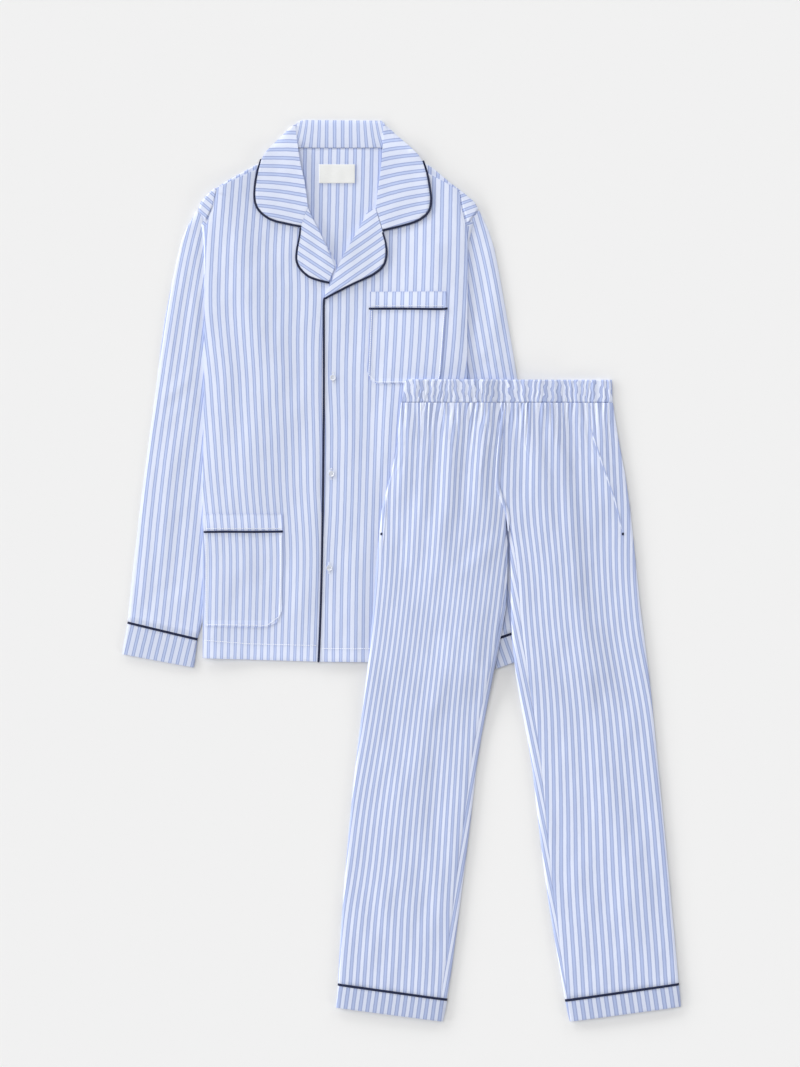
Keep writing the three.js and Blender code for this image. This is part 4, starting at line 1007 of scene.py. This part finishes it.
def waist_stripes(x, y):
    x, y = in_trousers(x, y)
    across = gathers_along(x)
    squeezed = 0.12 * np.sin(across * 2.3 + 1) + 0.05 * np.sin(across * 5.7) + 0.25 * np.sin(across * 0.9)
    bent = 0.09 * np.sin(y * 330 + across * 0.8) + 0.04 * np.sin(y * 760 + across * 2.9)
    leaning = (y + 0.017) / 0.016 * (0.2 * np.sin(across * 0.75 + 0.7) + 0.12 * np.sin(across * 1.7))
    return x / 0.0089 + squeezed + bent + leaning, y / REPEAT


def waist_rise(x, y):
    """The waistband's gathers, which are fullest along its middle."""
    x, y = in_trousers(x, y)
    across = gathers_along(x)
    close = across * 1.7 + 0.5 * np.sin(across * 1.9 + 1) + y / 0.03 * np.sin(across * 0.8)
    middle = np.exp(-(((y + 0.017) / 0.015) ** 2))
    crumpled = waves(x, y * 0.45, 41, 0.005, 0.014)
    return (0.00035 * np.sin(2 * math.pi * close) + 0.00025 * crumpled) * (0.45 + 0.55 * middle)


waistband = cloth_from("waistband", "waistband_cloth", 5, 8, 0.0012)
raise_upper(waistband, waist_rise, lowest_under(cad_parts["waistband"]), 0.005)
lay_grain(waistband, [(anywhere, waist_stripes)])
finish_piece(waistband, TROUSER_COTTON, "striped_cotton", "waistband")

# painted shade: the leg bands' cotton is darker than the legs', standing in for less light reaching the
# lower part of the set
BAND_COTTON_PAINTED_SHADE = striped_cotton("striped_cotton_bands_painted_shade", 0.52,
                             rgb(214, 221, 240), rgb(156, 168, 208), rgb(174, 188, 223))

for side, slope, spacing, area in (("left", -0.14, 0.0109, 0.00988), ("right", 0.145, 0.0122, 0.00994)):
    stripes = slanted(slope, 0.6, spacing)
    band_piece(f"leg_band_{side}", f"leg_band_{side}_cloth", stripes, BAND_COTTON_PAINTED_SHADE)
    piped_seam(f"leg_piping_{side}", f"leg_{side}_piping")


# Neck label
# A small ivory woven tab, blank, lying inside the back below the neck. Its ends are turned under
# and sewn down.

def woven_tape():
    material, shader = start_finish("woven_tape", {"Roughness": 0.7, "Sheen Weight": 0.2})
    place = add_node(material, "TexCoord", {}).outputs["Object"]
    ribs = add_node(material, "Mapping", {"Vector": place, "Scale": (120, 3200, 1)}).outputs[0]
    noise = add_node(material, "TexNoise", {"Vector": ribs, "Scale": 1, "Detail": 3}).outputs["Fac"]
    tones = colour_by(material, noise, [(0, rgb(228, 229, 227)), (1, rgb(243, 244, 243))])
    return end_finish(material, shader, tones, noise, 0.4)


def label_rise(x, y):
    x, y = in_jacket(x, y)
    return 0.0002 * waves(x, y, 51, 0.012, 0.04) + 0.0002


label = cloth_from("neck_label", "neck_label_tape", 4)
raise_cloth(label, label_rise)
soft_rim(label, 0.0003)
finish_piece(label, woven_tape(), "label_cloth", "neck_label")


# Buttons
# Three pale pearl-like buttons of about 9 mm with a raised rim and four holes, sewn on with pale
# thread where they show on the right front. Each has an upright buttonhole behind it.

def clouded(name, levels, cloud, stops):
    """A smooth finish whose tone changes softly from place to place."""
    material, shader = start_finish(name, levels)
    place = add_node(material, "TexCoord", {}).outputs["Object"]
    noise = add_node(material, "TexNoise", {"Vector": place, **cloud}).outputs["Fac"]
    return end_finish(material, shader, colour_by(material, noise, stops))


PEARL = clouded("pearl", {"Roughness": 0.24, "Coat Weight": 0.35, "Coat Roughness": 0.12},
                {"Scale": 240, "Detail": 2, "Distortion": 1.2},
                [(0.3, rgb(206, 212, 226)), (0.7, rgb(232, 235, 243))])
THREAD = clouded("pale_thread", {"Roughness": 0.6, "Sheen Weight": 0.3}, {"Scale": 900},
                 [(0, rgb(236, 241, 252)), (1, rgb(252, 253, 255))])


def strands(name, pairs, thick, material, slot):
    """Short threads, each from one point to another, bowed up a little in the middle."""
    corners, faces = [], []
    for start, end in pairs:
        start, end = Vector(start), Vector(end)
        run = end - start
        side = run.cross(Vector((0, 0, 1)))
        side = (side.normalized() if side.length > 1e-9 else Vector((1, 0, 0))) * thick / 2
        up = Vector((0, 0, thick / 2))
        first = len(corners)
        for share, size in ((0, 0.35), (0.2, 0.95), (0.5, 1.1), (0.8, 0.95), (1, 0.35)):
            middle = start + run * share + up * (1.2 * math.sin(math.pi * share))
            corners += [middle + side * size, middle + up * size, middle - side * size, middle - up * size]
        faces += skin(5, 4, first)
    finish_piece(closed_piece(name, [tuple(corner) for corner in corners], faces), material, slot)


BUTTON_RADIUS, BUTTON_THICK = 0.0045, 0.0014
HOLE_OUT = 0.0009  # from the button's middle to its holes, sideways and up


def press_button(name, x, y, seat):
    """A disc with a raised rim and a dished middle, pierced by four holes."""
    half = seat + BUTTON_THICK / 2
    bpy.ops.object.select_all(action="DESELECT")
    bpy.ops.mesh.primitive_cylinder_add(
        vertices=40, radius=BUTTON_RADIUS, depth=BUTTON_THICK, location=(x, y, half))
    button = bpy.context.object
    button.name = button.data.name = name
    bpy.ops.object.transform_apply(location=True, rotation=True, scale=True)
    bpy.ops.object.mode_set(mode="EDIT")
    bpy.ops.mesh.select_mode(type="FACE")
    bpy.ops.mesh.select_all(action="DESELECT")
    bpy.ops.object.mode_set(mode="OBJECT")
    for face in button.data.polygons:
        face.select = face.normal.z > 0.9
    bpy.ops.object.mode_set(mode="EDIT")
    bpy.ops.mesh.inset(thickness=0.0009)
    bpy.ops.mesh.inset(thickness=0.0005, depth=-0.0005)
    bpy.ops.object.mode_set(mode="OBJECT")
    soft_rim(button, 0.00035, 3, 40)
    for dx in (-HOLE_OUT, HOLE_OUT):
        for dy in (-HOLE_OUT, HOLE_OUT):
            bpy.ops.object.select_all(action="DESELECT")
            bpy.ops.mesh.primitive_cylinder_add(
                vertices=12, radius=0.0005, depth=0.004, location=(x + dx, y + dy, half))
            punch = bpy.context.object
            select_only(button)
            hole = button.modifiers.new("hole", "BOOLEAN")
            hole.operation = "DIFFERENCE"
            hole.object = punch
            bpy.ops.object.modifier_apply(modifier="hole")
            bpy.data.objects.remove(punch)
    return button


def sew_button(name, x, y, height):
    """Two threads through each pair of holes, from the lower one to the upper."""
    sewn = []
    for dx in (-HOLE_OUT, HOLE_OUT):
        for turn in (-0.00016, 0.00016):
            sewn.append(((x + dx + turn, y - 0.0011, height), (x + dx + turn, y + 0.0011, height)))
    strands(name, sewn, 0.0003, THREAD, "striped_cotton")


def sew_buttonhole(name, x, y, long=0.017, stitches=30):
    """Close level stitches down both sides of an upright slit."""
    sewn = []
    for k in range(stitches):
        up = y - long / 2 + long * k / (stitches - 1)
        height = top_of([over], x + 0.0002, up) + 0.0001
        for side in (-1, 1):
            sewn.append(((x + side * 0.0003, up, height), (x + side * 0.0014, up + 0.0001, height)))
    strands(name, sewn, 0.0005, THREAD, "striped_cotton")


for i in (1, 2, 3):
    low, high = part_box(f"button_{i}")
    x, y = ((low[k] + high[k]) / 2 for k in range(2))
    seat = low[2] + float(front_rise(np.array([x]), np.array([y]))[0])
    button = press_button(f"button_{i}_disc", x, y, seat)
    finish_piece(button, PEARL, "pearl_button", f"button_{i}")
    sew_button(f"button_{i}_thread", x, y, seat + 0.00095)
    sew_buttonhole(f"buttonhole_{i}", x, y)


# Stitching
# Pale cotton lockstitch of about 3 mm: along the jacket's turned hem, round the pockets close to
# their edges and across the ends of the label.

def stitch_row(name, places, pieces, stitch=0.0026, gap=0.0007, thick=0.001):
    """Stitches along a line of places given in jacket millimetres, lying on the cloth."""
    line = np.array(places, float) / 1000 + JACKET
    steps = np.hypot(*np.diff(line, axis=0).T)
    along = np.concatenate([[0], np.cumsum(steps)])
    pairs = []
    for start in np.arange(0, along[-1] - stitch, stitch + gap):
        ends = []
        for at in (start, start + stitch):
            x, y = np.interp(at, along, line[:, 0]), np.interp(at, along, line[:, 1])
            ends.append((x, y, top_of(pieces, x, y) + 0.00005))
        pairs.append(ends)
    strands(name, pairs, thick, THREAD, "striped_cotton")


stitch_row("hem_stitches_left", [(-197, 33), (-130, 27.5), (-55, 25.5), (-28, 25)], [under])
stitch_row("hem_stitches_right", [(-21, 20.5), (34, 20), (52, 20.5)], [over])
stitch_row("chest_pocket_stitches", [
    (53.6, 526), (51.4, 470), (49.4, 430), (61, 419.6), (151.6, 419.6), (155.4, 430), (158, 470),
    (162.6, 526)], [chest])
stitch_row("chest_hem_stitches", [(53, 534), (110, 533.6), (163, 533.4)], [chest_band])
stitch_row("side_pocket_stitches", [
    (-194, 191), (-194, 56.5), (-103, 55), (-84.2, 69), (-83, 105), (-82.6, 191)], [side_bag])
stitch_row("side_hem_stitches", [(-194, 200), (-130, 200.2), (-82, 200.4)], [side_band])
for side, x in (("left", -24.2), ("right", 27.2)):
    stitch_row(f"label_stitches_{side}", [(x, 745), (x, 719)], [label], 0.0016, 0.0006, 0.0003)


# Trouser pockets and centre seam
# Slits beside the outer seams, each with its folded edge showing as a narrow lip of the cotton, and
# a short navy bar tack across its lower end. The seam between the fronts is pressed to one side.

leg_fronts = {side: bpy.data.objects[f"leg_{side}_front"] for side in ("left", "right")}


def narrow_fold(name, places, legs, stripes, wide=0.0022, tall=0.0007):
    """A narrow fold of cloth that lies along a line of places given in trouser millimetres."""
    path = smooth_line(places, 4, TROUSERS)
    last = len(path) - 1
    corners, height = [], 0
    for i, (x, y) in enumerate(path):
        step = path[min(i + 1, last)] - path[max(i - 1, 0)]
        aside = np.array([step[1], -step[0]]) / np.hypot(*step)
        taper = min(1, i / 5, (last - i) / 5) * 0.8 + 0.2
        beside = [np.array([x, y]) + aside * share * wide for share in (-0.65, 0, 0.65)]
        # past the cloth's edge the fold keeps the height it had
        height = max(top_of(legs, *place) for place in beside) or height
        for share, rise in ((-0.5, -0.9), (-0.4, 0.5), (0, 1), (0.4, 0.5), (0.5, -0.9), (0, -1)):
            px, py = np.array([x, y]) + aside * share * wide * taper
            corners.append((px, py, height + rise * tall * taper))
    fold = closed_piece(name, corners, skin(len(path), 6))
    lay_grain(fold, [(anywhere, stripes)])
    finish_piece(fold, TROUSER_COTTON, "striped_cotton")


both = list(leg_fronts.values())
narrow_fold("pocket_lip_left", [(-181.8, -180), (-185, -215), (-188.6, -259)], both, left_leg_stripes)
narrow_fold("pocket_lip_right", [(123, -72), (142.5, -130.5), (161, -184.5), (170.4, -225)],
            both, right_leg_stripes)
narrow_fold("centre_seam", [
    (-5, -37), (-9, -60), (-13, -92), (-16, -125), (-16, -158), (-10, -178), (-3, -196), (-0.2, -212),
    (0.2, -227)], both, right_leg_stripes, 0.006, 0.0006)

for side, (x, y) in (("left", (-189.9, -231)), ("right", (171.8, -231))):
    leg = leg_fronts[side]
    tack = []
    for k in range(9):
        px, py = TROUSERS[0] + x / 1000, TROUSERS[1] + y / 1000 + 0.0004 * (k - 4)
        height = top_of([leg], px, py) + 0.0002
        tack.append(((px - 0.0017, py, height), (px + 0.0017, py + 0.0002, height)))
    strands(f"bar_tack_{side}", tack, 0.00055, NAVY, "navy_piping")


# Floor, light and camera
# A pale floor, a broad light from the upper left with a ring of low soft ones that is strongest on
# the same side, an even pale sky, and a camera straight above that takes in the whole set.

bpy.ops.object.select_all(action="DESELECT")
bpy.ops.mesh.primitive_plane_add(size=80, location=(0, 0, -0.0002))
floor = bpy.context.object
floor.name = "floor"
paper, _ = start_finish("paper", {
    "Base Color": rgb(242, 242, 242), "Roughness": 0.95, "Specular IOR Level": 0.1})
floor.data.materials.append(paper)

world = bpy.context.scene.world or bpy.data.worlds.new("studio")
bpy.context.scene.world = world
world.use_nodes = True
world.node_tree.nodes["Background"].inputs["Color"].default_value = (1, 1, 1, 1)
world.node_tree.nodes["Background"].inputs["Strength"].default_value = 0.36

for name, height, turn, share, spread in (
    ("key", 60, 135, 0.27, 40),
    ("low_top", 13, 115, 0.07, 16),
    ("low_left", 13, 150, 0.09, 16),
    ("low_side", 13, 185, 0.07, 16),
    ("fill_right", 13, 60, 0.04, 16),
    ("fill_below", 13, 240, 0.04, 16),
    ("fill_low", 13, 330, 0.05, 16),
):
    rise, turn = math.radians(height), math.radians(turn)
    toward = Vector((math.cos(turn) * math.cos(rise), math.sin(turn) * math.cos(rise), math.sin(rise)))
    bpy.ops.object.light_add(type="SUN", location=toward * 3)
    lamp = bpy.context.object
    lamp.name = name
    lamp.data.energy = share * math.pi / math.sin(rise)
    lamp.data.angle = math.radians(spread)
    lamp.rotation_euler = toward.to_track_quat("Z", "Y").to_euler()

bpy.context.scene.view_settings.view_transform = "Standard"
VIEW_TALL = 1.6005  # how much of the floor the picture shows, from its top to its bottom
lens = bpy.data.cameras.new("camera")
lens.lens = 85
lens.sensor_fit = "VERTICAL"
lens.sensor_height = 36
camera = bpy.data.objects.new("camera", lens)
bpy.context.scene.collection.objects.link(camera)
camera.location = (-0.00235, 0.0557, VIEW_TALL * lens.lens / lens.sensor_height)
bpy.context.scene.camera = camera
